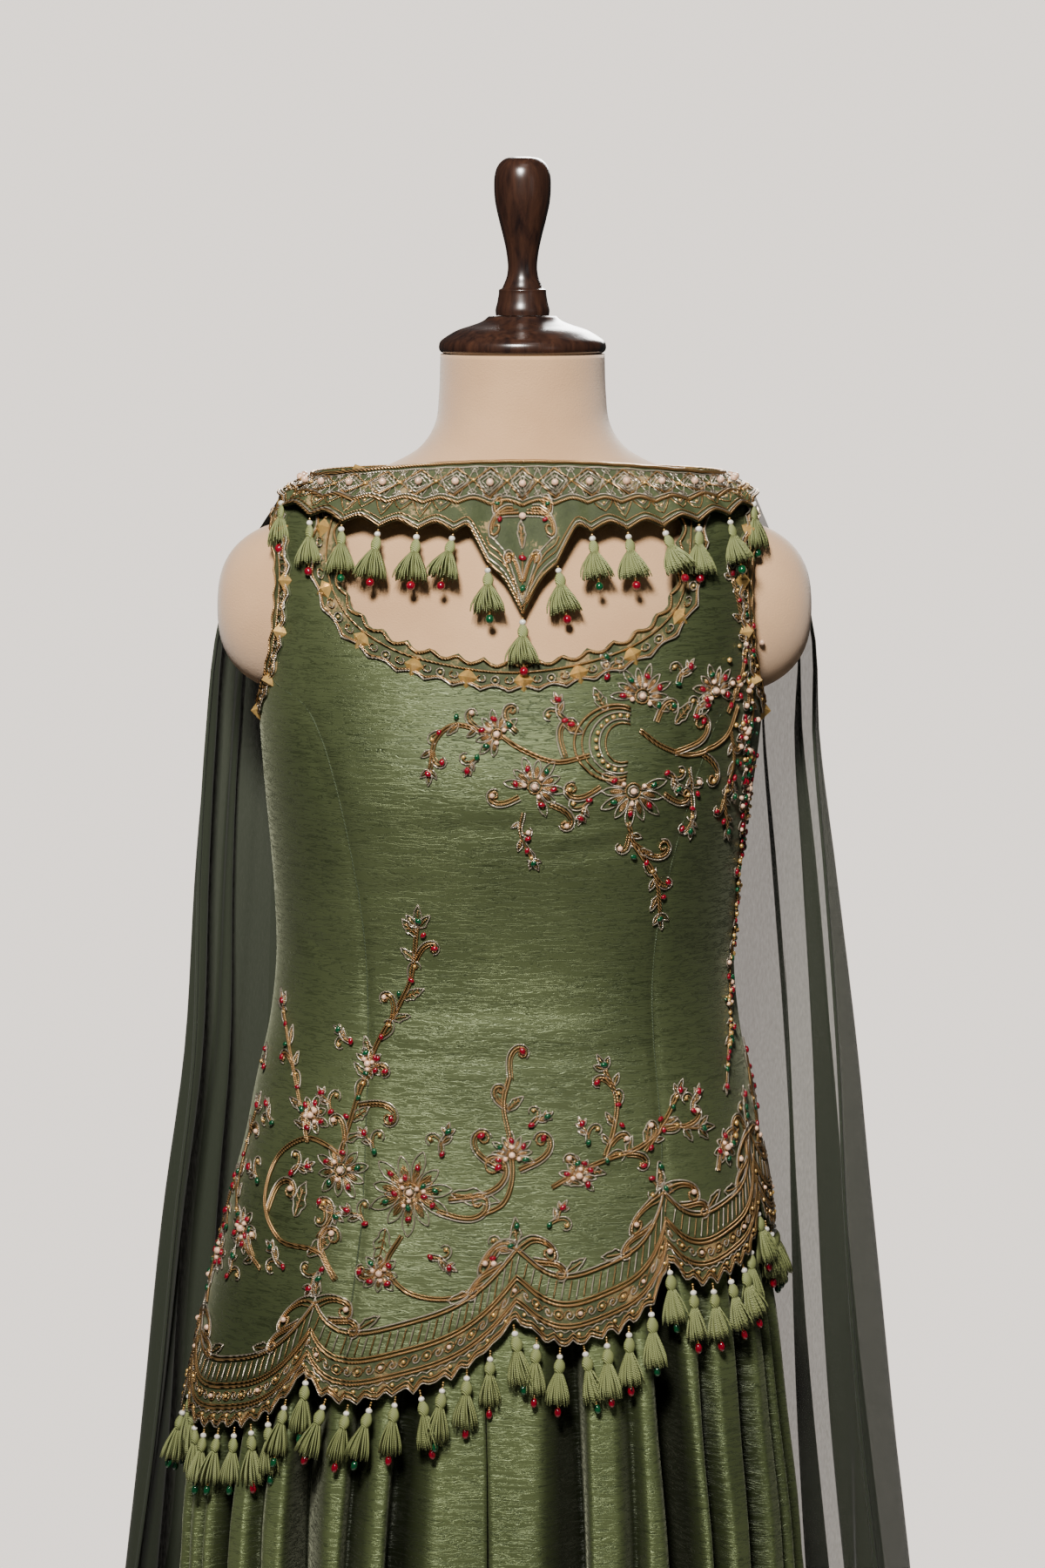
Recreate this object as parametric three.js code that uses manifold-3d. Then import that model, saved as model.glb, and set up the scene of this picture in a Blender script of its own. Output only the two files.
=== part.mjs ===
// A sharara suit on a limbless dress form: a sleeveless kurti with a slanting scalloped hem, flared sharara
// trousers, an embroidered boat-neck collar and the chiffon cape that hangs from its back, with silk tassels.
// Millimetres, +Z up, the front faces -Y, and the wearer's left is +X. The origin is on the floor under the pole.
import * as THREE from "three";
import { mergeVertices } from "three/addons/utils/BufferGeometryUtils.js";
import Module from "manifold-3d";

const wasm = await Module();
wasm.setup();

// Driving dimensions
const SEAM_GAP = 0.4;
const CLOTH = 2;
const CHIFFON = 1.2;
const BORDER = 1.2;
const SMOOTH = 0.14;
const BORDER_LIFT = 0.3;
const ROUNDNESS = 2.3;

const POLE_RADIUS = 14;
const BASE_RADIUS = 170;
const BASE_HEIGHT = 16;
const FORM_BOTTOM = 775;
const NECK_TOP = 1478;

const WAISTBAND_TOP = 1092;
const SHARARA_TOP = 1055;
const SHARARA_HEM = 45;
const LEG_SPLIT_X = -25;
const CROTCH_TOP = 800;
const CROTCH_POINT = 745;
const INSEAM_Y = 6;
const LEG_COLUMNS = 32;

const ARM_CAP = { reach: 59, deep: 43, high: 60, z: 1305.5 };
const ARMHOLE = { deep: 51, high: 65, z: 1306, border: 15, teeth: 11, tooth: 3 };
const NECK_BORDER = 20;
const NECK_TEETH = 13;
const NECK_TOOTH = 5;

const HEM_RISE = 30;
const HEM_TEETH = 4;
const HEM_TOOTH = 8;
const HEM_BORDER = 58;

const COLLAR = { wall: 2.4, backColumns: 20, tooth: 6, pendantHalf: 48, pendantDrop: 54 };
const HEM_TASSEL = { link: 0.8, drop: 9, head: 3.6, neck: 2.4, skirt: 21, spread: 2.2, flare: 2, deep: 0.75 };
const COLLAR_TASSEL = { link: 0.9, drop: 7, head: 3.8, neck: 2.7, skirt: 20, spread: 3, flare: 2.3, deep: 0.6 };
const HEM_TASSELS = 56;
const TAPE = { high: 3, wall: 1.2 };

const CAPE_HEM = 110;
const CAPE_PLEATS = 10;

// Sections of the dress form, each a rounded ring at height z
const FORM_SECTIONS = [
  { z: 1478, left: 56, right: 56, front: 56, back: 56 },
  { z: 1450, left: 57, right: 57, front: 57, back: 57 },
  { z: 1430, left: 60, right: 60, front: 60, back: 61 },
  { z: 1414, left: 71, right: 71, front: 64, back: 67 },
  { z: 1404.7, left: 87, right: 87, front: 67, back: 72 },
  { z: 1395.7, left: 107, right: 107, front: 69, back: 76 },
  { z: 1386.7, left: 135, right: 129, front: 75, back: 83 },
  { z: 1376.7, left: 155, right: 146, front: 80, back: 89 },
  { z: 1335, left: 172, right: 159, front: 96, back: 103 },
  { z: 1300, left: 173, right: 159, front: 105, back: 107 },
  { z: 1242, left: 172, right: 156, front: 116, back: 107 },
  { z: 1195, left: 166, right: 150, front: 123, back: 104 },
  { z: 1110, left: 142, right: 125, front: 103, back: 95 },
  { z: 1065, left: 133, right: 113, front: 92, back: 91 },
  { z: 950, left: 165, right: 146, front: 107, back: 111 },
  { z: 900, left: 175, right: 156, front: 109, back: 118 },
  { z: 810, left: 165, right: 147, front: 96, back: 106 },
  { z: 785, left: 141, right: 125, front: 79, back: 87 },
  { z: 775, left: 100, right: 90, front: 56, back: 62 },
];

// Sections of the kurti's outer face: close over the shoulders and bust, free from the waist down
const KURTI_SECTIONS = [
  { z: 1405, left: 92, right: 92, front: 72, back: 77 },
  { z: 1396, left: 116, right: 116, front: 77, back: 84 },
  { z: 1387, left: 143, right: 137, front: 83, back: 91 },
  { z: 1377, left: 164, right: 155, front: 88, back: 97 },
  { z: 1360, left: 176, right: 164, front: 95, back: 104 },
  { z: 1335, left: 180, right: 167, front: 103, back: 110 },
  { z: 1300, left: 181, right: 167, front: 112, back: 114 },
  { z: 1242, left: 181, right: 165, front: 123, back: 114 },
  { z: 1195, left: 178, right: 160, front: 131, back: 112 },
  { z: 1150, left: 174, right: 153, front: 126, back: 109 },
  { z: 1110, left: 171, right: 149, front: 119, back: 107 },
  { z: 1065, left: 170, right: 146, front: 113, back: 106 },
  { z: 1020, left: 175, right: 150, front: 115, back: 111 },
  { z: 978, left: 185, right: 158, front: 119, back: 118 },
  { z: 939, left: 193, right: 165, front: 124, back: 125 },
  { z: 906, left: 202, right: 171, front: 129, back: 131 },
  { z: 862, left: 212, right: 176, front: 136, back: 137 },
  { z: 824, left: 221, right: 180, front: 141, back: 142 },
  { z: 760, left: 234, right: 186, front: 149, back: 149 },
  { z: 700, left: 245, right: 192, front: 156, back: 156 },
];

// Sections of the sharara's fold crests, with how deep its folds go in and how far apart its legs stand
const SHARARA_SECTIONS = [
  { z: 1055, left: 140, right: 120, front: 99, back: 98, fold: 0, apart: 0.4 },
  { z: 1010, left: 154, right: 134, front: 106, back: 107, fold: 1, apart: 0.4 },
  { z: 950, left: 174, right: 154, front: 114, back: 118, fold: 2, apart: 0.4 },
  { z: 900, left: 190, right: 165, front: 120, back: 127, fold: 4, apart: 0.4 },
  { z: 860, left: 202, right: 170, front: 126, back: 130, fold: 6, apart: 0.4 },
  { z: 811, left: 214, right: 178, front: 134, back: 137, fold: 13, apart: 0.4 },
  { z: 748, left: 227, right: 185, front: 143, back: 146, fold: 19, apart: 0.6 },
  { z: 684, left: 237, right: 193, front: 152, back: 156, fold: 23, apart: 1 },
  { z: 627, left: 241, right: 198, front: 161, back: 166, fold: 27, apart: 1.5 },
  { z: 500, left: 262, right: 220, front: 186, back: 194, fold: 34, apart: 2 },
  { z: 300, left: 300, right: 262, front: 226, back: 238, fold: 44, apart: 3 },
  { z: 45, left: 350, right: 315, front: 270, back: 284, fold: 54, apart: 4 },
];

// Valleys of one sharara leg, at a share of the way from centre front round the side to centre back
const LEG_FOLDS = [
  { at: 0.062, half: 0.05, deep: 0.65 },
  { at: 0.188, half: 0.062, deep: 1.0 },
  { at: 0.32, half: 0.058, deep: 0.75 },
  { at: 0.438, half: 0.06, deep: 0.95 },
  { at: 0.57, half: 0.06, deep: 0.8 },
  { at: 0.688, half: 0.058, deep: 1.0 },
  { at: 0.82, half: 0.062, deep: 0.85 },
  { at: 0.938, half: 0.05, deep: 0.65 },
];

// Where the front princess seams run, from the armholes to the hem
const PRINCESS_SEAMS = [
  { z: 1405, right: -200, left: 200 },
  { z: 1374, right: -200, left: 200 },
  { z: 1360, right: -175, left: 163 },
  { z: 1300, right: -174, left: 160 },
  { z: 1262, right: -170, left: 157 },
  { z: 1245, right: -146, left: 137 },
  { z: 1195, right: -126, left: 116 },
  { z: 1107, right: -109, left: 93 },
  { z: 1048, right: -105, left: 88 },
  { z: 959, right: -106, left: 94 },
  { z: 875, right: -109, left: 97 },
  { z: 700, right: -118, left: 103 },
];

// Angles, in degrees, of the cusps between the hem's lobes; 180 is the wearer's right and 270 the front
const HEM_CUSPS = [-20, 24, 59, 90, 119, 154, 188, 233.4, 269.4, 301, 340];

// Shares of a lobe at which the hem's height is set
const LOBE_SHARES = [0, 0.08, 0.28, 0.5, 0.72, 0.92];

const KURTI_ROWS = [1404, 1396, 1388, 1378, 1362, 1335, 1295, 1258, 1222, 1185, 1120, 1050];
const KURTI_LOWER_ROWS = [0.34, 0.68, 1];
const SIDE_PANEL_TOP = KURTI_ROWS.indexOf(1295);
const BORDER_END = KURTI_ROWS.indexOf(1185) + 1;
const SEAMS_STRAIGHT = 900;

// Necklines as the front and the back show them
const FRONT_NECKLINE = [
  { x: -114, z: 1440 }, { x: -116, z: 1395 }, { x: -126, z: 1346 }, { x: -114, z: 1312 },
  { x: -86, z: 1291 }, { x: -46, z: 1280 }, { x: -6, z: 1276 }, { x: 36, z: 1281 },
  { x: 74, z: 1294 }, { x: 98, z: 1315 }, { x: 106, z: 1346 }, { x: 108, z: 1395 }, { x: 108, z: 1440 },
];
const BACK_NECKLINE = [
  { x: -114, z: 1440 }, { x: -116, z: 1395 }, { x: -98, z: 1372 }, { x: -50, z: 1358 },
  { x: 0, z: 1354 }, { x: 46, z: 1358 }, { x: 92, z: 1372 }, { x: 108, z: 1395 }, { x: 108, z: 1440 },
];

// Collar edges, each a ring: the top edge stands clear of the neck, the low edge lies over the straps
const COLLAR_TOP = { side: 131, front: 77, back: 86, zFront: 1410, zSide: 1402, zBack: 1412 };
const COLLAR_LOW = { side: 167, front: 102, back: 108, zFront: 1369, zSide: 1384.6, zBack: 1372 };

// Sections of the cape: its two front edges and its middle at the back
const CAPE_SECTIONS = [
  { z: 1345, left: 190, right: 176, edge: 54, back: 114, fold: 1 },
  { z: 1292, left: 211, right: 201, edge: 62, back: 122, fold: 3 },
  { z: 1205, left: 222, right: 205, edge: 66, back: 128, fold: 6 },
  { z: 1110, left: 229, right: 215, edge: 66, back: 132, fold: 8 },
  { z: 983, left: 235, right: 227, edge: 62, back: 146, fold: 10 },
  { z: 864, left: 250, right: 235, edge: 58, back: 166, fold: 12 },
  { z: 683, left: 269, right: 249, edge: 54, back: 196, fold: 15 },
  { z: 450, left: 302, right: 275, edge: 50, back: 240, fold: 19 },
  { z: 110, left: 366, right: 336, edge: 46, back: 318, fold: 24 },
];

// The collar's tassels hang along its front, from one shoulder to the other
const COLLAR_TASSELS = [-163, -143, -121, -96, -70, -46, -23, 0, 23, 46, 70, 94, 118, 139, 156];

// Turned profiles, as radius and height
const CAP_PROFILE = [
  { r: 54, z: 1478.4 }, { r: 56, z: 1480 }, { r: 57, z: 1483 }, { r: 55, z: 1487 },
  { r: 50, z: 1491 }, { r: 43.5, z: 1494.5 }, { r: 29, z: 1500 }, { r: 22, z: 1503.6 },
];
const FINIAL_PROFILE = [
  { r: 17.5, z: 1504 }, { r: 16.2, z: 1517 }, { r: 14.4, z: 1521 }, { r: 12.2, z: 1526 },
  { r: 10.2, z: 1532 }, { r: 10, z: 1538 }, { r: 11.6, z: 1549 }, { r: 13.6, z: 1559 },
  { r: 16.5, z: 1570 }, { r: 18.5, z: 1580 }, { r: 19.4, z: 1590 }, { r: 18.4, z: 1600 },
  { r: 14.6, z: 1607 }, { r: 9.5, z: 1611 },
];

// Materials
const finish = (color, roughness, metalness = 0) =>
  new THREE.MeshStandardMaterial({ color, roughness, metalness });
const SATIN = finish(0x4d6840, 0.45);
const CHIFFON_GREEN = new THREE.MeshStandardMaterial({
  color: 0x45593a, roughness: 0.8, transparent: true, opacity: 0.6,
});
const ZARI = finish(0xa88350, 0.4, 0.6);
const SILK_THREAD = finish(0x6f8a4c, 0.7);
const SUEDE = finish(0xd9c3ab, 0.95);
const DARK_WOOD = finish(0x2c1a14, 0.3);
const STEEL = finish(0x8f9194, 0.35, 0.9);

const suit = new THREE.Group();

function addMesh(name, geometry, material, parent = suit) {
  const mesh = new THREE.Mesh(geometry, material);
  mesh.name = name;
  parent.add(mesh);
}

// Values of a table's named columns at a height, on smooth curves through its rows (rows run downwards)
function sectionAt(rows, z) {
  const last = rows.length - 1;
  let i = rows.findIndex((row) => row.z <= z);
  if (i === -1) i = last;
  i = Math.max(1, i);
  const [a, b] = [rows[i - 1], rows[i]];
  const t = THREE.MathUtils.clamp((a.z - z) / (a.z - b.z), 0, 1);
  const before = rows[Math.max(0, i - 2)];
  const after = rows[Math.min(last, i + 1)];
  const values = {};
  for (const key of Object.keys(a)) {
    const step = b[key] - a[key];
    const span = a.z - b.z;
    const m0 = before === a ? step : (b[key] - before[key]) * span / (before.z - b.z);
    const m1 = after === b ? step : (after[key] - a[key]) * span / (a.z - after.z);
    values[key] = (2 * t ** 3 - 3 * t ** 2 + 1) * a[key] + (t ** 3 - 2 * t ** 2 + t) * m0 +
      (3 * t ** 2 - 2 * t ** 3) * b[key] + (t ** 3 - t ** 2) * m1;
  }
  return values;
}

const power = (value, exponent) => Math.sign(value) * Math.abs(value) ** exponent;

// A point of a rounded ring: angle 0 is the wearer's left, and three quarters of a turn is the front
function ringPoint(section, angle, z, roundness = ROUNDNESS) {
  const c = power(Math.cos(angle), 2 / roundness);
  const s = power(Math.sin(angle), 2 / roundness);
  const wide = c < 0 ? section.left : section.right;
  const deep = s < 0 ? section.front : section.back;
  return new THREE.Vector3(wide * c, deep * s, z);
}

// Normals of a grid of points (rows downwards, columns anticlockwise seen from above), shared by points that meet
function gridNormals(points, closed) {
  const key = (p) => `${p.x.toFixed(2)},${p.y.toFixed(2)},${p.z.toFixed(2)}`;
  const sums = new Map();
  const columns = points[0].length;
  const add = (p, n) => sums.set(key(p), (sums.get(key(p)) ?? new THREE.Vector3()).add(n));
  for (let r = 0; r + 1 < points.length; r++) {
    for (let c = 0; c + (closed ? 0 : 1) < columns; c++) {
      const d = (c + 1) % columns;
      const corners = [points[r][c], points[r + 1][c], points[r + 1][d], points[r][d]];
      const across = corners[2].clone().sub(corners[0]);
      const n = across.cross(corners[3].clone().sub(corners[1]));
      corners.forEach((p) => add(p, n));
    }
  }
  return points.map((row) => row.map((p) => sums.get(key(p)).clone().normalize()));
}

// A cloth wall between a grid moved out by lift and the same grid moved out by lift less its thickness
function wall(points, normals, lift, thickness, closed = false) {
  const rows = points.length;
  const columns = points[0].length;
  const position = [];
  for (const out of [lift, lift - thickness]) {
    for (let r = 0; r < rows; r++) {
      for (let c = 0; c < columns; c++) {
        position.push(...points[r][c].clone().addScaledVector(normals[r][c], out).toArray());
      }
    }
  }
  const outer = (r, c) => r * columns + (c % columns);
  const inner = (r, c) => rows * columns + outer(r, c);
  const index = [];
  const quad = (a, b, c, d) => index.push(a, b, c, a, c, d);
  const spans = closed ? columns : columns - 1;
  for (let c = 0; c < spans; c++) {
    for (let r = 0; r + 1 < rows; r++) {
      quad(outer(r, c), outer(r + 1, c), outer(r + 1, c + 1), outer(r, c + 1));
      quad(inner(r, c), inner(r, c + 1), inner(r + 1, c + 1), inner(r + 1, c));
    }
    quad(outer(0, c), outer(0, c + 1), inner(0, c + 1), inner(0, c));
    quad(outer(rows - 1, c + 1), outer(rows - 1, c), inner(rows - 1, c), inner(rows - 1, c + 1));
  }
  for (let r = 0; r + 1 < rows && !closed; r++) {
    quad(outer(r, 0), inner(r, 0), inner(r + 1, 0), outer(r + 1, 0));
    const end = columns - 1;
    quad(outer(r, end), outer(r + 1, end), inner(r + 1, end), inner(r, end));
  }
  return welded(position, index);
}

// A geometry from points and triangles, with points that meet made one and flat triangles dropped
function welded(position, index) {
  const loose = new THREE.BufferGeometry();
  loose.setAttribute("position", new THREE.Float32BufferAttribute(position, 3));
  loose.setIndex(index);
  const geometry = mergeVertices(loose, 1e-2);
  const kept = [];
  const corners = geometry.index.array;
  for (let i = 0; i < corners.length; i += 3) {
    const [a, b, c] = corners.slice(i, i + 3);
    if (a !== b && b !== c && c !== a) kept.push(a, b, c);
  }
  geometry.setIndex(kept);
  return geometry;
}

function solidOf(geometry) {
  const bare = geometry.index ? geometry.toNonIndexed() : geometry;
  const only = new THREE.BufferGeometry();
  only.setAttribute("position", bare.getAttribute("position"));
  const merged = mergeVertices(only, 1e-3);
  return new wasm.Manifold(new wasm.Mesh({
    numProp: 3,
    vertProperties: merged.attributes.position.array,
    triVerts: new Uint32Array(merged.index.array),
  }));
}

function geometryOf(solid) {
  const mesh = solid.getMesh();
  const geometry = new THREE.BufferGeometry();
  geometry.setAttribute("position", new THREE.BufferAttribute(mesh.vertProperties, 3));
  geometry.setIndex(new THREE.BufferAttribute(mesh.triVerts, 1));
  return geometry;
}

// A closed loft through whole rings, capped at both ends by a middle point
function loft(rings) {
  const columns = rings[0].length;
  const position = rings.flat().flatMap((p) => p.toArray());
  const index = [];
  for (let r = 0; r + 1 < rings.length; r++) {
    for (let c = 0; c < columns; c++) {
      const d = (c + 1) % columns;
      const [a, b] = [r * columns, (r + 1) * columns];
      index.push(a + c, b + c, b + d, a + c, b + d, a + d);
    }
  }
  const middle = (ring) => ring.reduce((sum, p) => sum.add(p), new THREE.Vector3()).divideScalar(columns);
  [rings[0], rings.at(-1)].forEach((ring, end) => {
    const tip = position.length / 3;
    position.push(...middle(ring).toArray());
    const first = end ? (rings.length - 1) * columns : 0;
    for (let c = 0; c < columns; c++) {
      const d = (c + 1) % columns;
      index.push(tip, first + (end ? d : c), first + (end ? c : d));
    }
  });
  return welded(position, index);
}

const range = (count) => Array.from({ length: count }, (_, i) => i);

// A solid whose outline is drawn in the plane across an axis, and which runs from low to high along it
function prismAcross(axis, outline, low, high) {
  const shape = new THREE.Shape(outline.map((p) => new THREE.Vector2(p.u, p.z)));
  const geometry = new THREE.ExtrudeGeometry(shape, { depth: high - low, bevelEnabled: false });
  geometry.rotateX(Math.PI / 2);
  if (axis === "x") geometry.rotateZ(Math.PI / 2);
  geometry.translate(axis === "x" ? low : 0, axis === "x" ? 0 : high, 0);
  return solidOf(geometry);
}

// Dress form: a smooth torso with rounded arm caps, a turned wooden neck cap and knob, a pole and a base
function formTorso() {
  const columns = 24;
  const rings = FORM_SECTIONS.map((section) =>
    range(columns).map((c) => ringPoint(section, (2 * Math.PI * c) / columns, section.z, 2.2)));
  let torso = solidOf(loft(rings));
  for (const side of [-1, 1]) {
    const wide = side < 0 ? 150 : 139;
    const caps = range(7).map((i) => {
      const turn = THREE.MathUtils.lerp(0, 1.42, i / 6);
      const x = side * (wide + ARM_CAP.reach * Math.sin(turn));
      const size = Math.cos(turn) ** 0.75;
      return range(14).map((k) => {
        const a = side * (2 * Math.PI * k) / 14;
        return new THREE.Vector3(x, ARM_CAP.deep * size * Math.cos(a), ARM_CAP.z - ARM_CAP.high * size * Math.sin(a));
      });
    });
    torso = torso.add(solidOf(loft(caps)));
  }
  return geometryOf(torso);
}

function turned(profile, segments) {
  const points = profile.map((p) => new THREE.Vector2(p.r, p.z));
  const ends = [new THREE.Vector2(0, profile[0].z), new THREE.Vector2(0, profile.at(-1).z)];
  const geometry = new THREE.LatheGeometry([ends[0], ...points, ends[1]], segments);
  return geometry.rotateX(Math.PI / 2).scale(1, -1, 1);
}

// A lathe turns about Y, so its profile is stood up along Z
function standing(profile, segments) {
  const geometry = turned(profile, segments);
  const solid = solidOf(geometry);
  return solid.volume() > 0 ? geometryOf(solid) : geometryOf(solidOf(flipped(geometry)));
}

function flipped(geometry) {
  const bare = geometry.index ? geometry.toNonIndexed() : geometry;
  const array = bare.attributes.position.array;
  for (let i = 0; i < array.length; i += 9) {
    for (let k = 0; k < 3; k++) [array[i + 3 + k], array[i + 6 + k]] = [array[i + 6 + k], array[i + 3 + k]];
  }
  return bare;
}

function addDressForm() {
  const base = [
    { r: BASE_RADIUS, z: 0 }, { r: BASE_RADIUS, z: BASE_HEIGHT * 0.6 },
    { r: BASE_RADIUS - 6, z: BASE_HEIGHT }, { r: POLE_RADIUS + 12, z: BASE_HEIGHT + 2 },
  ];
  const pole = [{ r: POLE_RADIUS, z: BASE_HEIGHT + 2.3 }, { r: POLE_RADIUS, z: FORM_BOTTOM - SEAM_GAP }];
  addMesh("form_torso", formTorso(), SUEDE);
  addMesh("neck_cap", standing(CAP_PROFILE, 18), DARK_WOOD);
  addMesh("finial_knob", standing(FINIAL_PROFILE, 12), DARK_WOOD);
  addMesh("stand_pole", standing(pole, 16), STEEL);
  addMesh("stand_base", standing(base, 28), DARK_WOOD);
}

// Height of the kurti's hem: it slants from the wearer's left down to the right, in lobes that hang between cusps
function hemHeight(degrees) {
  const slant = 812 + 68 * Math.cos(THREE.MathUtils.degToRad(degrees));
  const turn = THREE.MathUtils.euclideanModulo(degrees - HEM_CUSPS[0], 360) + HEM_CUSPS[0];
  const i = Math.max(1, HEM_CUSPS.findIndex((cusp) => cusp >= turn));
  const share = (turn - HEM_CUSPS[i - 1]) / (HEM_CUSPS[i] - HEM_CUSPS[i - 1]);
  return slant + HEM_RISE * Math.abs(2 * share - 1) ** 3.5;
}

function kurtiPoint(angle, z) {
  return ringPoint(sectionAt(KURTI_SECTIONS, z), angle, z);
}

// Angle at which the kurti's ring at a height has this x, on its front or its back
function angleAtX(x, z, front) {
  const section = sectionAt(KURTI_SECTIONS, z);
  const wide = x < 0 ? section.left : section.right;
  const c = Math.sign(x) * Math.min(1, Math.abs(x) / wide) ** (ROUNDNESS / 2);
  const a = Math.acos(c);
  return front ? 2 * Math.PI - a : a;
}

const PANELS = [
  { name: "kurti_side_back_left", top: SIDE_PANEL_TOP },
  { name: "kurti_centre_back", top: 0 },
  { name: "kurti_side_back_right", top: SIDE_PANEL_TOP },
  { name: "kurti_side_front_right", top: SIDE_PANEL_TOP },
  { name: "kurti_centre_front", top: 0 },
  { name: "kurti_side_front_left", top: SIDE_PANEL_TOP },
];

// Angles of the six long seams at a height, anticlockwise from the left side seam
function seamAngles(z) {
  const seam = sectionAt(PRINCESS_SEAMS, Math.max(z, SEAMS_STRAIGHT));
  const at = Math.max(z, SEAMS_STRAIGHT);
  return [
    0, angleAtX(seam.left, at, false), angleAtX(seam.right, at, false), Math.PI,
    angleAtX(seam.right, at, true), angleAtX(seam.left, at, true), 2 * Math.PI,
  ];
}

// Shares of each panel's width at which its columns stand, so that the hem's cusps and lobes fall on columns
function panelShares() {
  const seams = seamAngles(SEAMS_STRAIGHT).map((angle) => THREE.MathUtils.radToDeg(angle));
  const marks = [-360, 0].flatMap((whole) => HEM_CUSPS.slice(1).flatMap((cusp, i) =>
    LOBE_SHARES.map((share) => whole + THREE.MathUtils.lerp(HEM_CUSPS[i], cusp, share))));
  return PANELS.map((panel, p) => {
    const [from, to] = [seams[p], seams[p + 1]];
    const inside = marks.map((mark) => THREE.MathUtils.euclideanModulo(mark, 360))
      .filter((mark) => mark > from + 1.5 && mark < to - 1.5);
    const sorted = [...new Set(inside.map((mark) => mark.toFixed(3)))].map(Number).sort((a, b) => a - b);
    return [0, ...sorted.map((mark) => (mark - from) / (to - from))];
  });
}

// The kurti's whole grid: its columns follow the princess seams and its last row is the hem
function kurtiGrid() {
  const shares = panelShares();
  const rows = KURTI_ROWS.length + KURTI_LOWER_ROWS.length;
  const points = range(rows).map((row) => PANELS.flatMap((panel, p) => shares[p].map((share) => {
    const straight = seamAngles(SEAMS_STRAIGHT);
    const down = KURTI_LOWER_ROWS[row - KURTI_ROWS.length];
    const hem = hemHeight(THREE.MathUtils.radToDeg(THREE.MathUtils.lerp(straight[p], straight[p + 1], share)));
    const z = KURTI_ROWS[row] ?? THREE.MathUtils.lerp(KURTI_ROWS.at(-1), hem, down);
    const seams = seamAngles(z);
    return kurtiPoint(THREE.MathUtils.lerp(seams[p], seams[p + 1], share), z);
  })));
  return { points, normals: gridNormals(points, true), counts: shares.map((list) => list.length) };
}

// One panel's columns of the grid, its two long edges drawn in by half a seam gap
function panelColumns(grid, first, count, top) {
  const columns = grid.points[0].length;
  const pick = (row) => range(count + 1).map((c) => row[(first + c) % columns].clone());
  const points = grid.points.slice(top).map(pick);
  const normals = grid.normals.slice(top).map(pick);
  for (const row of points) {
    const from = row[1].clone().sub(row[0]).normalize();
    const to = row[count - 1].clone().sub(row[count]).normalize();
    row[0].addScaledVector(from, SEAM_GAP / 2);
    row[count].addScaledVector(to, SEAM_GAP / 2);
  }
  return { points, normals };
}

// A neckline drawn as a smooth curve, moved out from the opening by grow, with pointed scallops that reach in
function necklineOutline(rows, grow, tooth) {
  const curve = new THREE.SplineCurve(rows.map((p) => new THREE.Vector2(p.x, p.z)));
  const steps = NECK_TEETH * 2;
  return range(steps + 1).map((i) => {
    const t = i / steps;
    const p = curve.getPointAt(t);
    const along = curve.getTangentAt(t);
    const out = grow - (i % 2 ? tooth : 0);
    return { u: p.x + along.y * out, z: p.y - along.x * out };
  });
}

function necklineCutter(rows, front, grow, tooth) {
  const outline = necklineOutline(rows, grow, tooth);
  return prismAcross("y", outline, front ? -220 : 0, front ? 0 : 220);
}

function armholeCutter(side, grow, tooth) {
  const steps = ARMHOLE.teeth * 2;
  const outline = range(steps).map((i) => {
    const a = (2 * Math.PI * i) / steps;
    const out = grow - (i % 2 ? tooth : 0);
    const u = (ARMHOLE.deep + out) * power(Math.cos(a), 0.85);
    return { u, z: ARMHOLE.z + (ARMHOLE.high + out) * power(Math.sin(a), 0.85) };
  });
  return prismAcross("x", outline, side < 0 ? -260 : 118, side < 0 ? -126 : 260);
}

function addKurti() {
  const grid = kurtiGrid();
  const neck = necklineCutter(FRONT_NECKLINE, true, 0, NECK_TOOTH)
    .add(necklineCutter(BACK_NECKLINE, false, 0, NECK_TOOTH));
  const holes = [-1, 1].map((side) => armholeCutter(side, 0, ARMHOLE.tooth));
  const openings = neck.add(holes[0]).add(holes[1]);
  let first = 0;
  for (const [p, panel] of PANELS.entries()) {
    const part = panelColumns(grid, first, grid.counts[p], panel.top);
    const whole = solidOf(wall(part.points, part.normals, 0, CLOTH));
    const cut = biggest(whole.subtract(openings)).simplify(SMOOTH);
    addMesh(panel.name, geometryOf(panel.top ? cut : cut.subtract(shoulderSeams())), SATIN);
    first += grid.counts[p];
  }
  const upper = grid.points.slice(0, BORDER_END);
  const lifted = solidOf(wall(upper, grid.normals.slice(0, BORDER_END), BORDER_LIFT + BORDER, BORDER, true));
  addNecklineBorder(lifted, neck, openings);
  addArmholeBorders(lifted, openings);
  addHemBorder();
  addHemTassels(grid);
}

// The narrow slot between the front and the back straps on both shoulders
function shoulderSeams() {
  const half = SEAM_GAP / 2;
  const corners = [{ u: -half, z: 1330 }, { u: half, z: 1330 }, { u: half, z: 1450 }, { u: -half, z: 1450 }];
  return prismAcross("x", corners, -300, 300);
}

const biggest = (solid) => solid.decompose().sort((a, b) => b.volume() - a.volume())[0];

function addNecklineBorder(lifted, neck, openings) {
  const wide = necklineCutter(FRONT_NECKLINE, true, NECK_BORDER, 0)
    .add(necklineCutter(BACK_NECKLINE, false, NECK_BORDER, 0));
  const band = lifted.intersect(wide).subtract(neck).subtract(openings);
  addMesh("neckline_border", geometryOf(biggest(band).simplify(SMOOTH)), ZARI);
}

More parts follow.
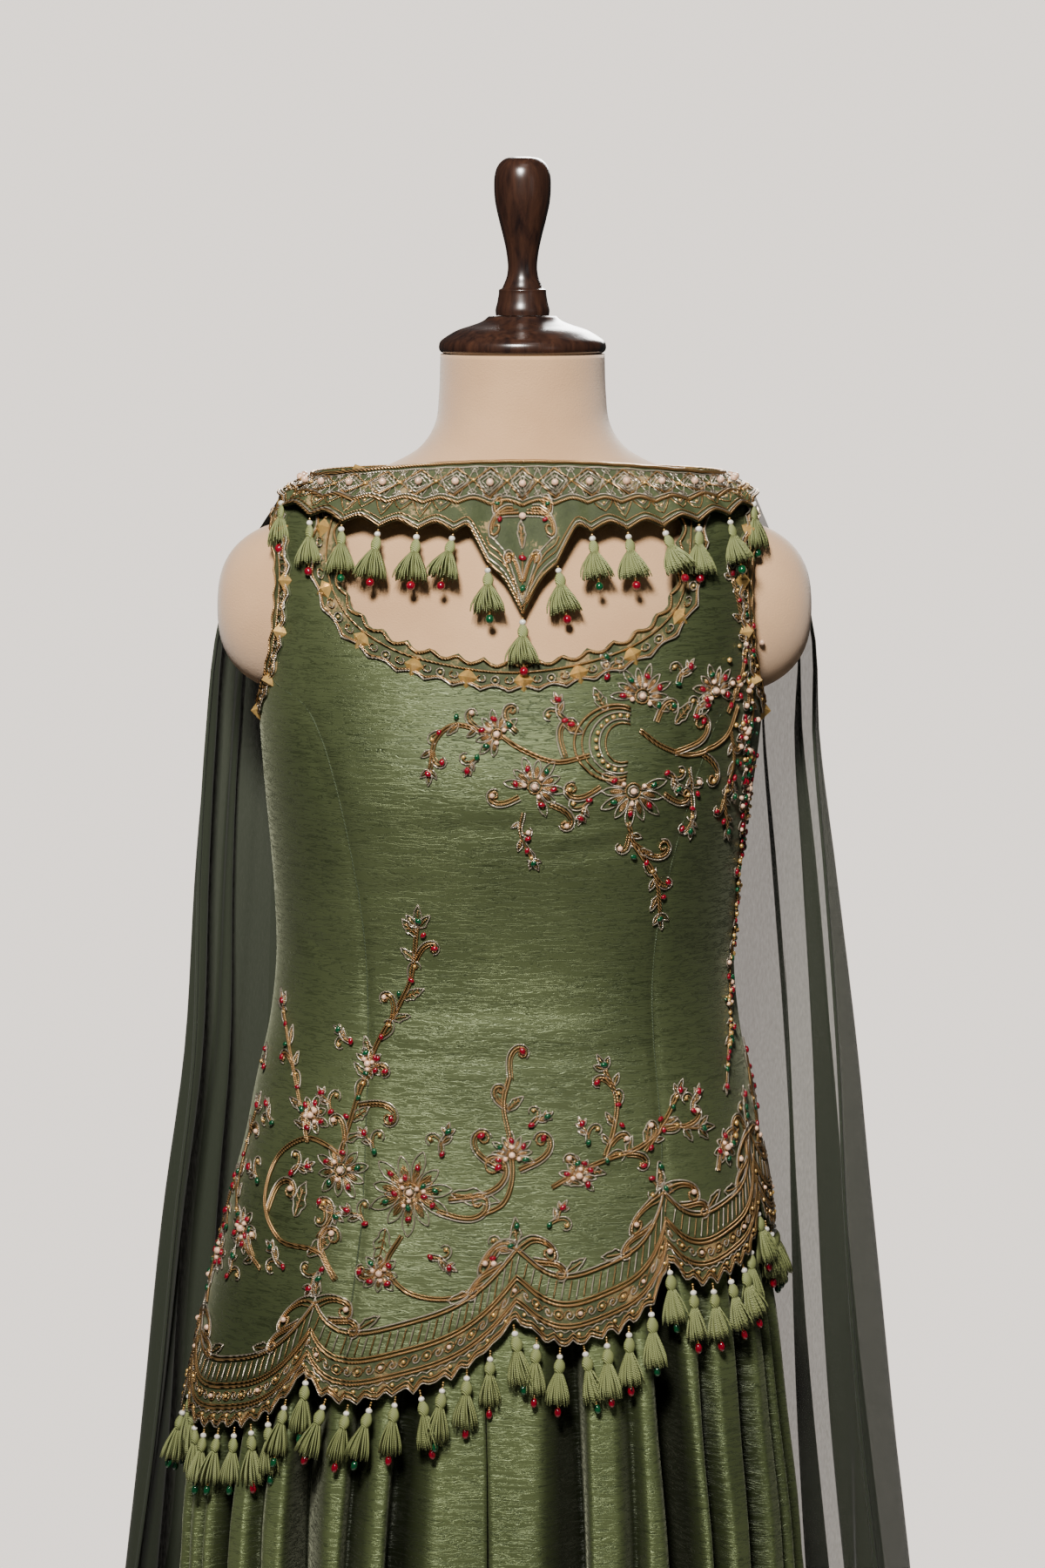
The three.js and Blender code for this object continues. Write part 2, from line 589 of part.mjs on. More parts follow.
function addArmholeBorders(lifted, openings) {
  const neckBand = necklineCutter(FRONT_NECKLINE, true, NECK_BORDER + 1, 0)
    .add(necklineCutter(BACK_NECKLINE, false, NECK_BORDER + 1, 0));
  for (const [side, name] of [[-1, "right"], [1, "left"]]) {
    const wide = armholeCutter(side, ARMHOLE.border, 0);
    const band = lifted.intersect(wide).subtract(openings).subtract(neckBand);
    addMesh(`armhole_border_${name}`, geometryOf(biggest(band).simplify(SMOOTH)), ZARI);
  }
}

// The hem's embroidered band, lifted off the panels, whose low edge is cut into pointed teeth
function addHemBorder() {
  const shares = range(HEM_TEETH * 2).map((i) => i / (HEM_TEETH * 2));
  const angles = HEM_CUSPS.slice(1).flatMap((cusp, i) =>
    shares.map((share) => THREE.MathUtils.lerp(HEM_CUSPS[i], cusp, share)));
  const points = [1, 0].map((up) => angles.map((degrees, i) => {
    const low = hemHeight(degrees) + 3 - (i % 2 ? HEM_TOOTH : 0);
    const high = hemHeight(degrees) + HEM_BORDER;
    return kurtiPoint(THREE.MathUtils.degToRad(degrees), THREE.MathUtils.lerp(low, high, up));
  }));
  const border = wall(points, gridNormals(points, true), 2.5 * BORDER_LIFT + BORDER, BORDER, true);
  addMesh("hem_border", border, ZARI);
}

// A tassel hung from the origin: a thread link, a bound head and three locks that part at its neck
function tasselGeometry(size) {
  const levels = [
    { r: size.link, z: 0 },
    { r: size.link, z: -size.drop },
    { r: size.head, z: -size.drop - size.head },
    { r: size.neck, z: -size.drop - 2 * size.head },
  ];
  const corner = (k) => (2 * Math.PI * k) / 3 + Math.PI / 6;
  const position = levels.flatMap((l) => range(3).flatMap((k) =>
    [l.r * Math.cos(corner(k)), l.r * Math.sin(corner(k)), l.z]));
  const index = [0, 1, 2];
  const foot = levels[3].z - size.skirt;
  for (const k of range(3)) {
    const j = (k + 1) % 3;
    for (const l of range(3)) {
      index.push(3 * l + k, 3 * l + 3 + k, 3 * l + 3 + j, 3 * l + k, 3 * l + 3 + j, 3 * l + j);
    }
    const way = corner(k) + Math.PI / 3;
    const out = [size.spread * Math.cos(way), size.spread * Math.sin(way)];
    const r = size.neck * size.flare;
    const low = 13 + 3 * k;
    position.splice(position.length, 0, ...(k === 0 ? [0, 0, levels[3].z] : []));
    position.push(out[0], out[1], foot);
    for (const a of [corner(k), corner(j)]) {
      position.push(out[0] + r * Math.cos(a), out[1] + r * Math.sin(a), foot);
    }
    const [mid, a, b] = [12, 9 + k, 9 + j];
    index.push(a, low + 1, low + 2, a, low + 2, b);
    index.push(b, low + 2, low, b, low, mid);
    index.push(mid, low, low + 1, mid, low + 1, a);
    index.push(low, low + 2, low + 1);
  }
  return welded(position, index).scale(1, size.deep, 1);
}

// A tassel that hangs from a point down towards a foot, its flat side turned along the cloth
function tassel(size, at, foot, outward) {
  const geometry = tasselGeometry(size);
  geometry.rotateZ(Math.atan2(outward.y, outward.x) + Math.PI / 2);
  const aim = foot.clone().sub(at).normalize();
  geometry.applyQuaternion(new THREE.Quaternion().setFromUnitVectors(new THREE.Vector3(0, 0, -1), aim));
  return geometry.translate(at.x, at.y, at.z);
}

// The hem's tassels hang from a narrow tape that carries the cloth on just under its low edge
function addHemTassels(grid) {
  const [above, hem] = grid.points.slice(-2);
  const columns = hem.length;
  const normals = grid.normals.at(-1);
  const lowered = (down) => hem.map((p, c) => {
    const way = p.clone().sub(above[c]).normalize();
    return p.clone().addScaledVector(way, down).addScaledVector(normals[c], -(CLOTH - TAPE.wall) / 2);
  });
  const [top, low] = [lowered(SEAM_GAP + 0.2), lowered(SEAM_GAP + 0.2 + TAPE.high)];
  const middle = hem.findIndex((p, c) => c > 1 && p.y < 0 && hem[c - 1].y >= 0) - 1;
  const halves = [
    { name: "hem_tassels_back", from: 0, to: middle },
    { name: "hem_tassels_front", from: middle, to: columns },
  ];
  for (const half of halves) {
    const list = range(half.to - half.from + 1).map((i) => (half.from + i) % columns);
    const rows = [top, low].map((row) => list.map((c) => row[c].clone()));
    for (const row of rows) {
      row[0].lerp(row[1], 0.02);
      row.at(-1).lerp(row.at(-2), 0.02);
    }
    const directions = [list, list].map((row) => row.map((c) => normals[c]));
    let trim = solidOf(wall(rows, directions, 0, TAPE.wall));
    for (const at of alongLine(rows[1], HEM_TASSELS / 2)) trim = trim.add(solidOf(hemTassel(at)));
    addMesh(half.name, geometryOf(trim), SILK_THREAD);
  }
}

// Evenly spread points along a line of points, half a step in from its ends
function alongLine(line, count) {
  const along = [0];
  for (let i = 1; i < line.length; i++) along.push(along[i - 1] + flatDistance(line[i], line[i - 1]));
  return range(count).map((k) => {
    const want = (along.at(-1) * (k + 0.5)) / count;
    const i = along.findIndex((length) => length >= want);
    return line[i - 1].clone().lerp(line[i], (want - along[i - 1]) / (along[i] - along[i - 1]));
  });
}

const flatDistance = (a, b) => Math.hypot(a.x - b.x, a.y - b.y);

function hemTassel(point) {
  const outward = new THREE.Vector3(point.x, point.y * 1.4, 0).normalize();
  const at = point.clone().addScaledVector(outward, -TAPE.wall / 2);
  at.z += TAPE.high * 0.35;
  const low = at.z - 36;
  const section = sectionAt(SHARARA_SECTIONS, low);
  const kurti = sectionAt(KURTI_SECTIONS, point.z);
  const wide = point.x < 0 ? section.left / kurti.left : section.right / kurti.right;
  const deep = point.y < 0 ? section.front / kurti.front : section.back / kurti.back;
  const foot = new THREE.Vector3(point.x * wide, point.y * deep, low).addScaledVector(outward, 7.5);
  return tassel(HEM_TASSEL, at, foot, outward);
}

// A point of the collar: down runs from its top edge, 0, to its low edge, 1
function collarPoint(angle, down, tooth) {
  const s = Math.sin(angle);
  const edge = (e) => {
    const section = { left: e.side, right: e.side - 6, front: e.front, back: e.back };
    const zEnd = s < 0 ? e.zFront : e.zBack;
    return ringPoint(section, angle, THREE.MathUtils.lerp(e.zSide, zEnd, Math.abs(s) ** 1.5), 2.5);
  };
  const top = edge(COLLAR_TOP);
  const low = edge(COLLAR_LOW);
  low.z -= tooth;
  if (s < 0) {
    const share = Math.max(0, 1 - Math.abs(low.x) / COLLAR.pendantHalf);
    low.z -= COLLAR.pendantDrop * share;
    low.y -= 12 * share;
  }
  return top.lerp(low, down);
}

// Angle at which the collar's low edge has this x, in front
function collarAngle(x) {
  const wide = x < 0 ? COLLAR_LOW.side : COLLAR_LOW.side - 6;
  return 2 * Math.PI - Math.acos(Math.sign(x) * (Math.abs(x) / wide) ** 1.25);
}

function addCollar() {
  const tips = COLLAR_TASSELS.map(collarAngle);
  const back = range(COLLAR.backColumns + 1).map((i) => (Math.PI * i) / COLLAR.backColumns);
  const front = tips.flatMap((tip, i) => {
    const next = COLLAR_TASSELS[i + 1];
    return next === undefined ? [tip] : [tip, collarAngle((COLLAR_TASSELS[i] + next) / 2)];
  });
  const points = [0, 0.45, 1].map((down) =>
    [...back, ...front].map((angle) => collarPoint(angle, down, tips.includes(angle) ? COLLAR.tooth : 0)));
  const normals = gridNormals(points, true);
  addMesh("cape_collar", wall(points, normals, 0, COLLAR.wall, true), ZARI);
  const low = points.at(-1);
  tips.forEach((tip, i) => {
    const c = back.length + 2 * i;
    const at = low[c].clone().addScaledVector(normals.at(-1)[c], -COLLAR.wall / 2);
    at.z -= SEAM_GAP + 0.08 + 0.8 * COLLAR_TASSEL.link * Math.abs(normals.at(-1)[c].z);
    const geometry = tassel(COLLAR_TASSEL, at, collarTasselFoot(at), new THREE.Vector3(at.x, at.y * 2, 0));
    addMesh(`collar_tassel_${String(i + 1).padStart(2, "0")}`, geometry, SILK_THREAD);
  });
}

// Where a collar tassel's foot rests: off the kurti or the dress form below it
function collarTasselFoot(at) {
  const low = at.z - 35;
  const { left, right, front } = sectionAt(KURTI_SECTIONS, low);
  const outward = new THREE.Vector3(at.x, at.y * 2, 0).normalize();
  const wide = Math.min(1, Math.abs(at.x) / (at.x < 0 ? left : right));
  const y = -front * (1 - wide ** ROUNDNESS) ** (1 / ROUNDNESS);
  return new THREE.Vector3(at.x, Math.min(at.y, y), low).addScaledVector(outward, 7.5);
}

// The cape: one chiffon sheet round the back from edge to edge, its pleats deeper towards the hem
function addCape() {
  const columns = CAPE_PLEATS * 4;
  const levels = [1345, 1270, 1130, 960, 760, 460, CAPE_HEM];
  const points = levels.map((z) => range(columns + 1).map((c) => {
    const s = sectionAt(CAPE_SECTIONS, z);
    const share = c / columns;
    const wave = Math.sin(share * CAPE_PLEATS * 2 * Math.PI) * s.fold;
    const angle = Math.PI * share;
    const x = power(Math.cos(angle), 0.78) * (angle < Math.PI / 2 ? s.right : s.left);
    const y = s.edge + power(Math.sin(angle), 0.78) * (s.back - s.edge);
    const out = new THREE.Vector3(x, y - s.edge * 0.3, 0).normalize();
    return new THREE.Vector3(x, y, z).addScaledVector(out, wave);
  }));
  const reach = 0.12;
  const top = range(columns + 1).map((c) => {
    const p = collarPoint(THREE.MathUtils.lerp(reach, Math.PI - reach, c / columns), 1, 0);
    return p.add(new THREE.Vector3(0, 0, -0.88 * COLLAR.wall));
  });
  points.unshift(top);
  addMesh("cape", wall(points, gridNormals(points, false), 0, CHIFFON), CHIFFON_GREEN);
}

// How deep the folds go in at a share of the way round a leg
function foldDepth(share) {
  return LEG_FOLDS.reduce((sum, fold) => {
    const off = Math.min(1, Math.abs(share - fold.at) / fold.half);
    return sum + fold.deep * 0.5 * (1 + Math.cos(Math.PI * off));
  }, 0);
}

// One row of a sharara leg, from the inseam round the front, the side and the back to the inseam again
function legRow(side, z) {
  const s = sectionAt(SHARARA_SECTIONS, z);
  const inner = LEG_SPLIT_X + side * s.apart;
  const far = Math.acos(-((-inner / s.left) ** (ROUNDNESS / 2)));
  const turn = side > 0 ? 2 * far : 2 * far - 2 * Math.PI;
  const low = THREE.MathUtils.clamp((CROTCH_TOP - z) / (CROTCH_TOP - SHARARA_HEM), 0, 1);
  const middle = inner + side * (side > 0 ? s.right : s.left) * 0.5;
  const outside = range(LEG_COLUMNS + 1).map((c) => {
    const share = c / LEG_COLUMNS;
    const p = ringPoint(s, -far + turn * share, z);
    p.y *= 1 - 0.2 * low ** 0.7 * Math.abs(2 * share - 1) ** 8;
    const inwards = new THREE.Vector3(middle - p.x, -p.y * 0.8, 0).normalize();
    p.addScaledVector(inwards, foldDepth(share) * s.fold);
    if (side * (p.x - inner) < 0) p.x = inner;
    return p;
  });
  outside[0].x = inner;
  outside[LEG_COLUMNS].x = inner;
  const reach = THREE.MathUtils.clamp((CROTCH_TOP - z) / (CROTCH_TOP - CROTCH_POINT), 0, 1);
  const towards = (corner, gap) => range(3).map((j) => {
    const y = THREE.MathUtils.lerp(INSEAM_Y + gap, corner.y, 1 - reach * (1 - j / 3));
    return new THREE.Vector3(inner, y, z);
  });
  const row = [
    ...towards(outside[0], -SEAM_GAP),
    ...outside,
    ...towards(outside.at(-1), SEAM_GAP).reverse(),
  ];
  return side > 0 ? row : row.reverse();
}

function addSharara() {
  const levels = [SHARARA_TOP, 960, 870, CROTCH_TOP, CROTCH_POINT, 670, 500, 270, SHARARA_HEM];
  for (const [side, name] of [[1, "left"], [-1, "right"]]) {
    const points = levels.map((z) => legRow(side, z));
    addMesh(`sharara_leg_${name}`, wall(points, gridNormals(points, false), 0, CLOTH), SATIN);
  }
  const band = [WAISTBAND_TOP, SHARARA_TOP + 2 * SEAM_GAP].map((z) => range(24).map((c) => {
    const s = sectionAt(FORM_SECTIONS, z);
    return ringPoint(s, (2 * Math.PI * c) / 24, z);
  }));
  addMesh("sharara_waistband", wall(band, gridNormals(band, true), 5.2, 3, true), SATIN);
}

addDressForm();
addSharara();
addKurti();
addCollar();
addCape();

export default suit;
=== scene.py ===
# %% [markdown]
# # A sharara suit on its dress form
# This lesson dresses a imported CAD model of a south asian suit: a sleeveless kurti with a slanting,
# tasselled hem, flared sharara trousers, an embroidered collar and the chiffon cape that hangs from it.
# The CAD solids stay in the scene; every visible piece here replaces some of them, which are hidden, or lies
# on them. The CAD solids stay in the physics; every visible piece here replaces some of them or lies on
# them.
# Sizes are in millimetres in the tables and become metres when a mesh is made.

import math

import bmesh
import bpy
import numpy as np
from mathutils import Matrix, Vector


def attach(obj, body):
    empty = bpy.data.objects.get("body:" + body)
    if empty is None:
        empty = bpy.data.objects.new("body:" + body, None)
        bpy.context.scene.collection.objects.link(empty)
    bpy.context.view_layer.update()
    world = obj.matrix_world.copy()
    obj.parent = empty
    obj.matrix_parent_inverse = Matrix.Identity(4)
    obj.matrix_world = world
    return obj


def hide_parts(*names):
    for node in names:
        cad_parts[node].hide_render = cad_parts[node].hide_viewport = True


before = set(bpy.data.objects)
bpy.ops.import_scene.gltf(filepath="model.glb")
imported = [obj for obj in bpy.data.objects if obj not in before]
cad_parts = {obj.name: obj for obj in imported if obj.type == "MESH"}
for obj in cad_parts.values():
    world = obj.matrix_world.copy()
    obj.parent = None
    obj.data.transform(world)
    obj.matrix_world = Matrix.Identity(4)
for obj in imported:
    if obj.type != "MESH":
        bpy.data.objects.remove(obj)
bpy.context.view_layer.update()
MM = 0.001
TAU = 2 * math.pi

# %% [markdown]
# ## Camera, light and ground
# The suit is seen from just above its collar, a little over three metres away, which is far enough for
# the body to keep its proportions. Soft boxes in front, above and behind give satin its long sheen.

# %% Camera, lights and backdrop
LENS = 104.095  # millimetres: the frame is 1.08 m high at the form's middle

camera_data = bpy.data.cameras.new("camera")
camera_data.lens = LENS
camera = bpy.data.objects.new("camera", camera_data)
camera.location = (0, -3.1, 1.56)
aim = Vector((0, 0, 1.183)) - camera.location
camera.rotation_euler = aim.to_track_quat("-Z", "Y").to_euler()
bpy.context.scene.collection.objects.link(camera)
bpy.context.scene.camera = camera


def soft_box(name, place, target, size, watts, color=(1, 1, 1), spread=math.pi):
    data = bpy.data.lights.new(name, "AREA")
    data.spread = spread
    data.shape = "RECTANGLE"
    data.size, data.size_y = size
    data.energy = watts
    data.color = color
    light = bpy.data.objects.new(name, data)
    light.location = place
    light.rotation_euler = (Vector(target) - Vector(place)).to_track_quat("-Z", "Y").to_euler()
    bpy.context.scene.collection.objects.link(light)


soft_box("key", (-0.4, -2.5, 3.2), (0, 0, 1.2), (0.6, 0.6), 27, (1.0, 0.955, 0.90), 1.0)
soft_box("fill", (2.2, -2.8, 1.9), (0, 0, 1.1), (1.0, 1.4), 2.0, (0.97, 0.98, 1.0))
soft_box("top", (0.2, -0.9, 3.4), (0, 0, 1.3), (0.8, 0.5), 2)
soft_box("back", (0.6, 3.2, 2.6), (0, 0, 1.0), (1.4, 1.4), 22, (1.0, 0.98, 0.95), 1.2)


def studio_world():
    """A pale room behind the suit that lights it only faintly, like a wall far away."""
    world = bpy.data.worlds.new("studio")
    world.use_nodes = True
    nodes, links = world.node_tree.nodes, world.node_tree.links
    glow = nodes["Background"]
    glow.inputs["Color"].default_value = (0.92, 0.93, 0.95, 1)
    glow.inputs["Strength"].default_value = 0.045
    wall = nodes.new("ShaderNodeBackground")
    wall.inputs["Color"].default_value = (0.88, 0.80, 0.725, 1)
    wall.inputs["Strength"].default_value = 2.0
    path = nodes.new("ShaderNodeLightPath")
    both = nodes.new("ShaderNodeMixShader")
    links.new(path.outputs["Is Camera Ray"], both.inputs[0])
    links.new(glow.outputs[0], both.inputs[1])
    links.new(wall.outputs[0], both.inputs[2])
    links.new(both.outputs[0], nodes["World Output"].inputs["Surface"])
    return world


bpy.context.scene.world = studio_world()

# %% [markdown]
# ## Finishes
# Each finish is a small node tree on Object coordinates. Numbers that are the same all over are set on
# the shader itself.


# %% A helper that starts a material
def start_material(name, color, roughness, metallic=0.0):
    mat = bpy.data.materials.new(name)
    mat.use_nodes = True
    shader = mat.node_tree.nodes["Principled BSDF"]
    shader.inputs["Base Color"].default_value = (*color, 1)
    shader.inputs["Roughness"].default_value = roughness
    shader.inputs["Metallic"].default_value = metallic
    mat.diffuse_color = (*color, 1)
    return mat, shader


def new_node(mat, kind, **settings):
    node = mat.node_tree.nodes.new("ShaderNode" + kind)
    for name, value in settings.items():
        setattr(node, name, value)
    return node


def join(mat, output, socket):
    mat.node_tree.links.new(output, socket)


def times_plus(mat, value, factor, more):
    """value x factor + more"""
    node = new_node(mat, "Math", operation="MULTIPLY_ADD")
    node.inputs[1].default_value = factor
    join(mat, value, node.inputs[0])
    join(mat, more, node.inputs[2])
    return node.outputs[0]


def with_sheen(shader, weight, roughness):
    shader.inputs["Sheen Weight"].default_value = weight
    shader.inputs["Sheen Roughness"].default_value = roughness


def coordinates(mat, scale=(1, 1, 1)):
    source = new_node(mat, "TexCoord")
    mapping = new_node(mat, "Mapping")
    mapping.inputs["Scale"].default_value = scale
    join(mat, source.outputs["Object"], mapping.inputs["Vector"])
    return mapping.outputs["Vector"]


def noise(mat, vector, scale, detail=3.0, roughness=0.55, distortion=0.0):
    node = new_node(mat, "TexNoise")
    node.inputs["Scale"].default_value = scale
    node.inputs["Detail"].default_value = detail
    node.inputs["Roughness"].default_value = roughness
    node.inputs["Distortion"].default_value = distortion
    join(mat, vector, node.inputs["Vector"])
    return node.outputs["Fac"]


def ramp(mat, value, stops):
    node = new_node(mat, "ValToRGB")
    elements = node.color_ramp.elements
    while len(elements) < len(stops):
        elements.new(0.5)
    for element, (place, color) in zip(elements, stops):
        element.position = place
        element.color = (*color, 1)
    join(mat, value, node.inputs["Fac"])
    return node.outputs["Color"]


def spread(mat, value, low, high):
    node = new_node(mat, "MapRange")
    node.inputs["To Min"].default_value = low
    node.inputs["To Max"].default_value = high
    join(mat, value, node.inputs["Value"])
    return node.outputs["Result"]


def bump(mat, height, distance, strength, under=None):
    node = new_node(mat, "Bump")
    node.inputs["Distance"].default_value = distance
    node.inputs["Strength"].default_value = strength
    join(mat, height, node.inputs["Height"])
    if under is not None:
        join(mat, under, node.inputs["Normal"])
    return node.outputs["Normal"]


# %% [markdown]
# Crushed satin has fine crinkles that run across the cloth, under a soft sheen. One stretched noise
# makes the crinkles and paints shade into them as a darker colour, a fine grain breaks the gloss, and a
# wide faint noise shifts the green as the dye and the light do.


# %% Satin, chiffon and thread
def satin(name, dark, light, crinkle=1.0, fold_shaded=False):
    """Crushed satin; on a fold-shaded piece the attribute "fold" paints the colour darker as shade deep in a
    fold and lighter as a highlight between folds.
    """
    mat, shader = start_material(name, light, 0.38, 0.6)
    wide = noise(mat, coordinates(mat), 6.0, 3)
    fine = noise(mat, coordinates(mat, (48, 48, 360)), 1.0, 4, 0.6, 0.9)
    grain = noise(mat, coordinates(mat), 1100.0, 2)
    # Painted shade: the colour is darker along these crease lines, which also make the bump.
    creases = ramp(mat, fine, [(0.45, (1, 1, 1)), (0.5, (0, 0, 0)), (0.55, (1, 1, 1))])
    shade = times_plus(mat, creases, 0.34, wide)
    tone = ramp(mat, shade, [(0.5, dark), (1.0, light)])
    if fold_shaded:
        # Painted shade and highlight: the colour is multiplied by up to 1.22 between the folds and down to
        # 0.08 deep in them.
        fold = new_node(mat, "Attribute", attribute_name="fold")
        deep = ramp(mat, fold.outputs["Fac"], [(0.02, (1.22, 1.22, 1.18)), (0.13, (0.55, 0.56, 0.52)),
                                               (0.38, (0.08, 0.09, 0.07))])
        shadow = new_node(mat, "Mix", data_type="RGBA", blend_type="MULTIPLY")
        shadow.inputs["Factor"].default_value = 1.0
        join(mat, tone, shadow.inputs[6])
        join(mat, deep, shadow.inputs[7])
        tone = shadow.outputs[2]
    join(mat, tone, shader.inputs["Base Color"])
    join(mat, spread(mat, grain, 0.3, 0.5), shader.inputs["Roughness"])
    first = bump(mat, creases, 0.001, 0.3 * crinkle)
    second = bump(mat, fine, 0.0012, 0.2 * crinkle, first)
    join(mat, bump(mat, grain, 0.0002, 0.3, second), shader.inputs["Normal"])
    with_sheen(shader, 0.2, 0.4)
    shader.inputs["Sheen Tint"].default_value = (0.8, 0.85, 0.6, 1)
    return mat


def chiffon(name, color, thin, thick):
    """Chiffon whose layers lie closer together on the wearer's right than on the left."""
    mat, shader = start_material(name, color, 0.75)
    weave = noise(mat, coordinates(mat, (1, 1, 0.25)), 900, 2)
    where = new_node(mat, "SeparateXYZ")
    join(mat, coordinates(mat), where.inputs[0])
    layers = new_node(mat, "MapRange")
    layers.inputs["From Min"].default_value = -0.12
    layers.inputs["From Max"].default_value = 0.12
    layers.inputs["To Min"].default_value = thick
    layers.inputs["To Max"].default_value = thin
    join(mat, where.outputs["X"], layers.inputs["Value"])
    join(mat, times_plus(mat, weave, 0.14, layers.outputs["Result"]), shader.inputs["Alpha"])
    join(mat, bump(mat, weave, 0.0003, 0.3), shader.inputs["Normal"])
    with_sheen(shader, 0.12, 0.5)
    return mat


def thread(name, dark, light, metallic, roughness, pitch):
    mat, shader = start_material(name, light, roughness, metallic)
    twist_and_groove_shade = new_node(mat, "TexWave", bands_direction="DIAGONAL")
    twist_and_groove_shade.inputs["Scale"].default_value = pitch
    twist_and_groove_shade.inputs["Distortion"].default_value = 0.6
    join(mat, coordinates(mat), twist_and_groove_shade.inputs["Vector"])
    # Painted shade: the colour is much darker in the grooves of the twist than on the strands; the same twist
    # makes the bump.
    join(mat, ramp(mat, twist_and_groove_shade.outputs["Fac"], [(0.2, dark), (0.8, light)]), shader.inputs["Base Color"])
    join(mat, bump(mat, twist_and_groove_shade.outputs["Fac"], 0.0004, 0.8), shader.inputs["Normal"])
    return mat


SATIN = satin("sage_satin", (0.034, 0.046, 0.017), (0.105, 0.130, 0.056))
# The sharara's satin has painted fold shade: darker in the folds' valleys, lighter between them.
SHARARA_SATIN = satin("sharara_satin", (0.040, 0.054, 0.021), (0.125, 0.155, 0.066), 1.2, True)
# A dark cord for the seams, painted shade for the groove each seam pulls into the cloth.
SEAM_SHADE_CORD = thread("seam_thread", (0.02, 0.03, 0.012), (0.05, 0.07, 0.03), 0.0, 0.8, 300)
CHIFFON = chiffon("green_chiffon", (0.015, 0.021, 0.009), 0.5, 0.86)
CHIFFON_HEM = chiffon("chiffon_hem", (0.014, 0.020, 0.009), 0.8, 0.86)
GOLD = thread("gold_zari", (0.04, 0.018, 0.005), (0.80, 0.49, 0.21), 0.85, 0.3, 380)
SILVER = thread("silver_zari", (0.12, 0.09, 0.06), (0.96, 0.85, 0.70), 0.8, 0.28, 450)
SILK = thread("silk_thread", (0.10, 0.125, 0.035), (0.29, 0.32, 0.125), 0.0, 0.6, 420)


# %% [markdown]
# The rest are hard or matt finishes: suede with a soft nap, dark lacquered wood with a faint grain,
# brushed steel, pearls, glass stones and the densely stitched ground of the borders.


# %% Suede, wood, metal and beads
def suede():
    mat, shader = start_material("cream_suede", (0.48, 0.28, 0.14), 0.96)
    place = coordinates(mat)
    cloud = noise(mat, place, 14, 4)
    nap = noise(mat, place, 900, 2)
    join(mat, ramp(mat, cloud, [(0.3, (0.42, 0.245, 0.12)), (0.75, (0.51, 0.31, 0.16))]),
              shader.inputs["Base Color"])
    join(mat, bump(mat, nap, 0.0006, 0.6), shader.inputs["Normal"])
    with_sheen(shader, 0.4, 0.6)
    return mat


def lacquered_wood():
    mat, shader = start_material("dark_lacquered_wood", (0.02, 0.011, 0.008), 0.22)
    grain = noise(mat, coordinates(mat, (1, 1, 0.12)), 160, 5, 0.6, 0.5)
    worn = noise(mat, coordinates(mat), 30, 4)
    join(mat, ramp(mat, grain, [(0.3, (0.007, 0.004, 0.004)), (0.75, (0.05, 0.021, 0.012))]),
              shader.inputs["Base Color"])
    join(mat, spread(mat, worn, 0.14, 0.36), shader.inputs["Roughness"])
    join(mat, bump(mat, grain, 0.0003, 0.25), shader.inputs["Normal"])
    shader.inputs["Coat Weight"].default_value = 0.25
    shader.inputs["Coat Roughness"].default_value = 0.2
    return mat


def brushed_steel():
    mat, shader = start_material("brushed_steel", (0.42, 0.43, 0.44), 0.34, 0.95)
    brush = noise(mat, coordinates(mat, (1, 1, 0.02)), 700, 2)
    join(mat, spread(mat, brush, 0.26, 0.46), shader.inputs["Roughness"])
    join(mat, bump(mat, brush, 0.0002, 0.3), shader.inputs["Normal"])
    return mat


def bead(name, color, roughness, metallic=0.0, coat=0.6):
    mat, shader = start_material(name, color, roughness, metallic)
    cloud = noise(mat, coordinates(mat), 220, 2)
    deep = tuple(0.55 * c for c in color)
    join(mat, ramp(mat, cloud, [(0.25, deep), (0.7, color)]), shader.inputs["Base Color"])
    shader.inputs["Coat Weight"].default_value = coat
    shader.inputs["Coat Roughness"].default_value = 0.08
    return mat


def stitched_ground(name, stops):
    mat, shader = start_material(name, stops[1][1], 0.72)
    shader.inputs["Specular IOR Level"].default_value = 0.25
    stitch = noise(mat, coordinates(mat), 520, 3, 0.7)
    wide = noise(mat, coordinates(mat), 60, 2)
    mixed = times_plus(mat, stitch, 0.6, wide)
    join(mat, ramp(mat, mixed, stops), shader.inputs["Base Color"])
    join(mat, bump(mat, stitch, 0.0006, 0.7), shader.inputs["Normal"])
    return mat


SUEDE = suede()
WOOD = lacquered_wood()
STEEL = brushed_steel()
GROUND = stitched_ground("stitched_ground", [(0.55, (0.02, 0.028, 0.011)), (0.85, (0.05, 0.06, 0.025)),
                                             (1.0, (0.24, 0.16, 0.07))])
COLLAR_GROUND = stitched_ground("collar_ground", [(0.5, (0.024, 0.032, 0.012)), (0.92, (0.04, 0.052, 0.02)),
                                                  (1.0, (0.24, 0.17, 0.08))])
PEARL = bead("peach_pearl", (0.78, 0.50, 0.34), 0.22)
WHITE_PEARL = bead("white_pearl", (0.80, 0.77, 0.68), 0.2)
RUBY = bead("red_stone", (0.20, 0.002, 0.012), 0.1)
EMERALD = bead("green_stone", (0.003, 0.06, 0.02), 0.1)
GOLD_BEAD = bead("gold_bead", (0.86, 0.54, 0.17), 0.2, 0.6, 0.5)


# %% [markdown]
# The suit stands on a round pale floor. The wall is the world's own pale colour, so that a camera can
# walk all round the suit.

# %% The pale floor
FLOOR_RADIUS = 1.15


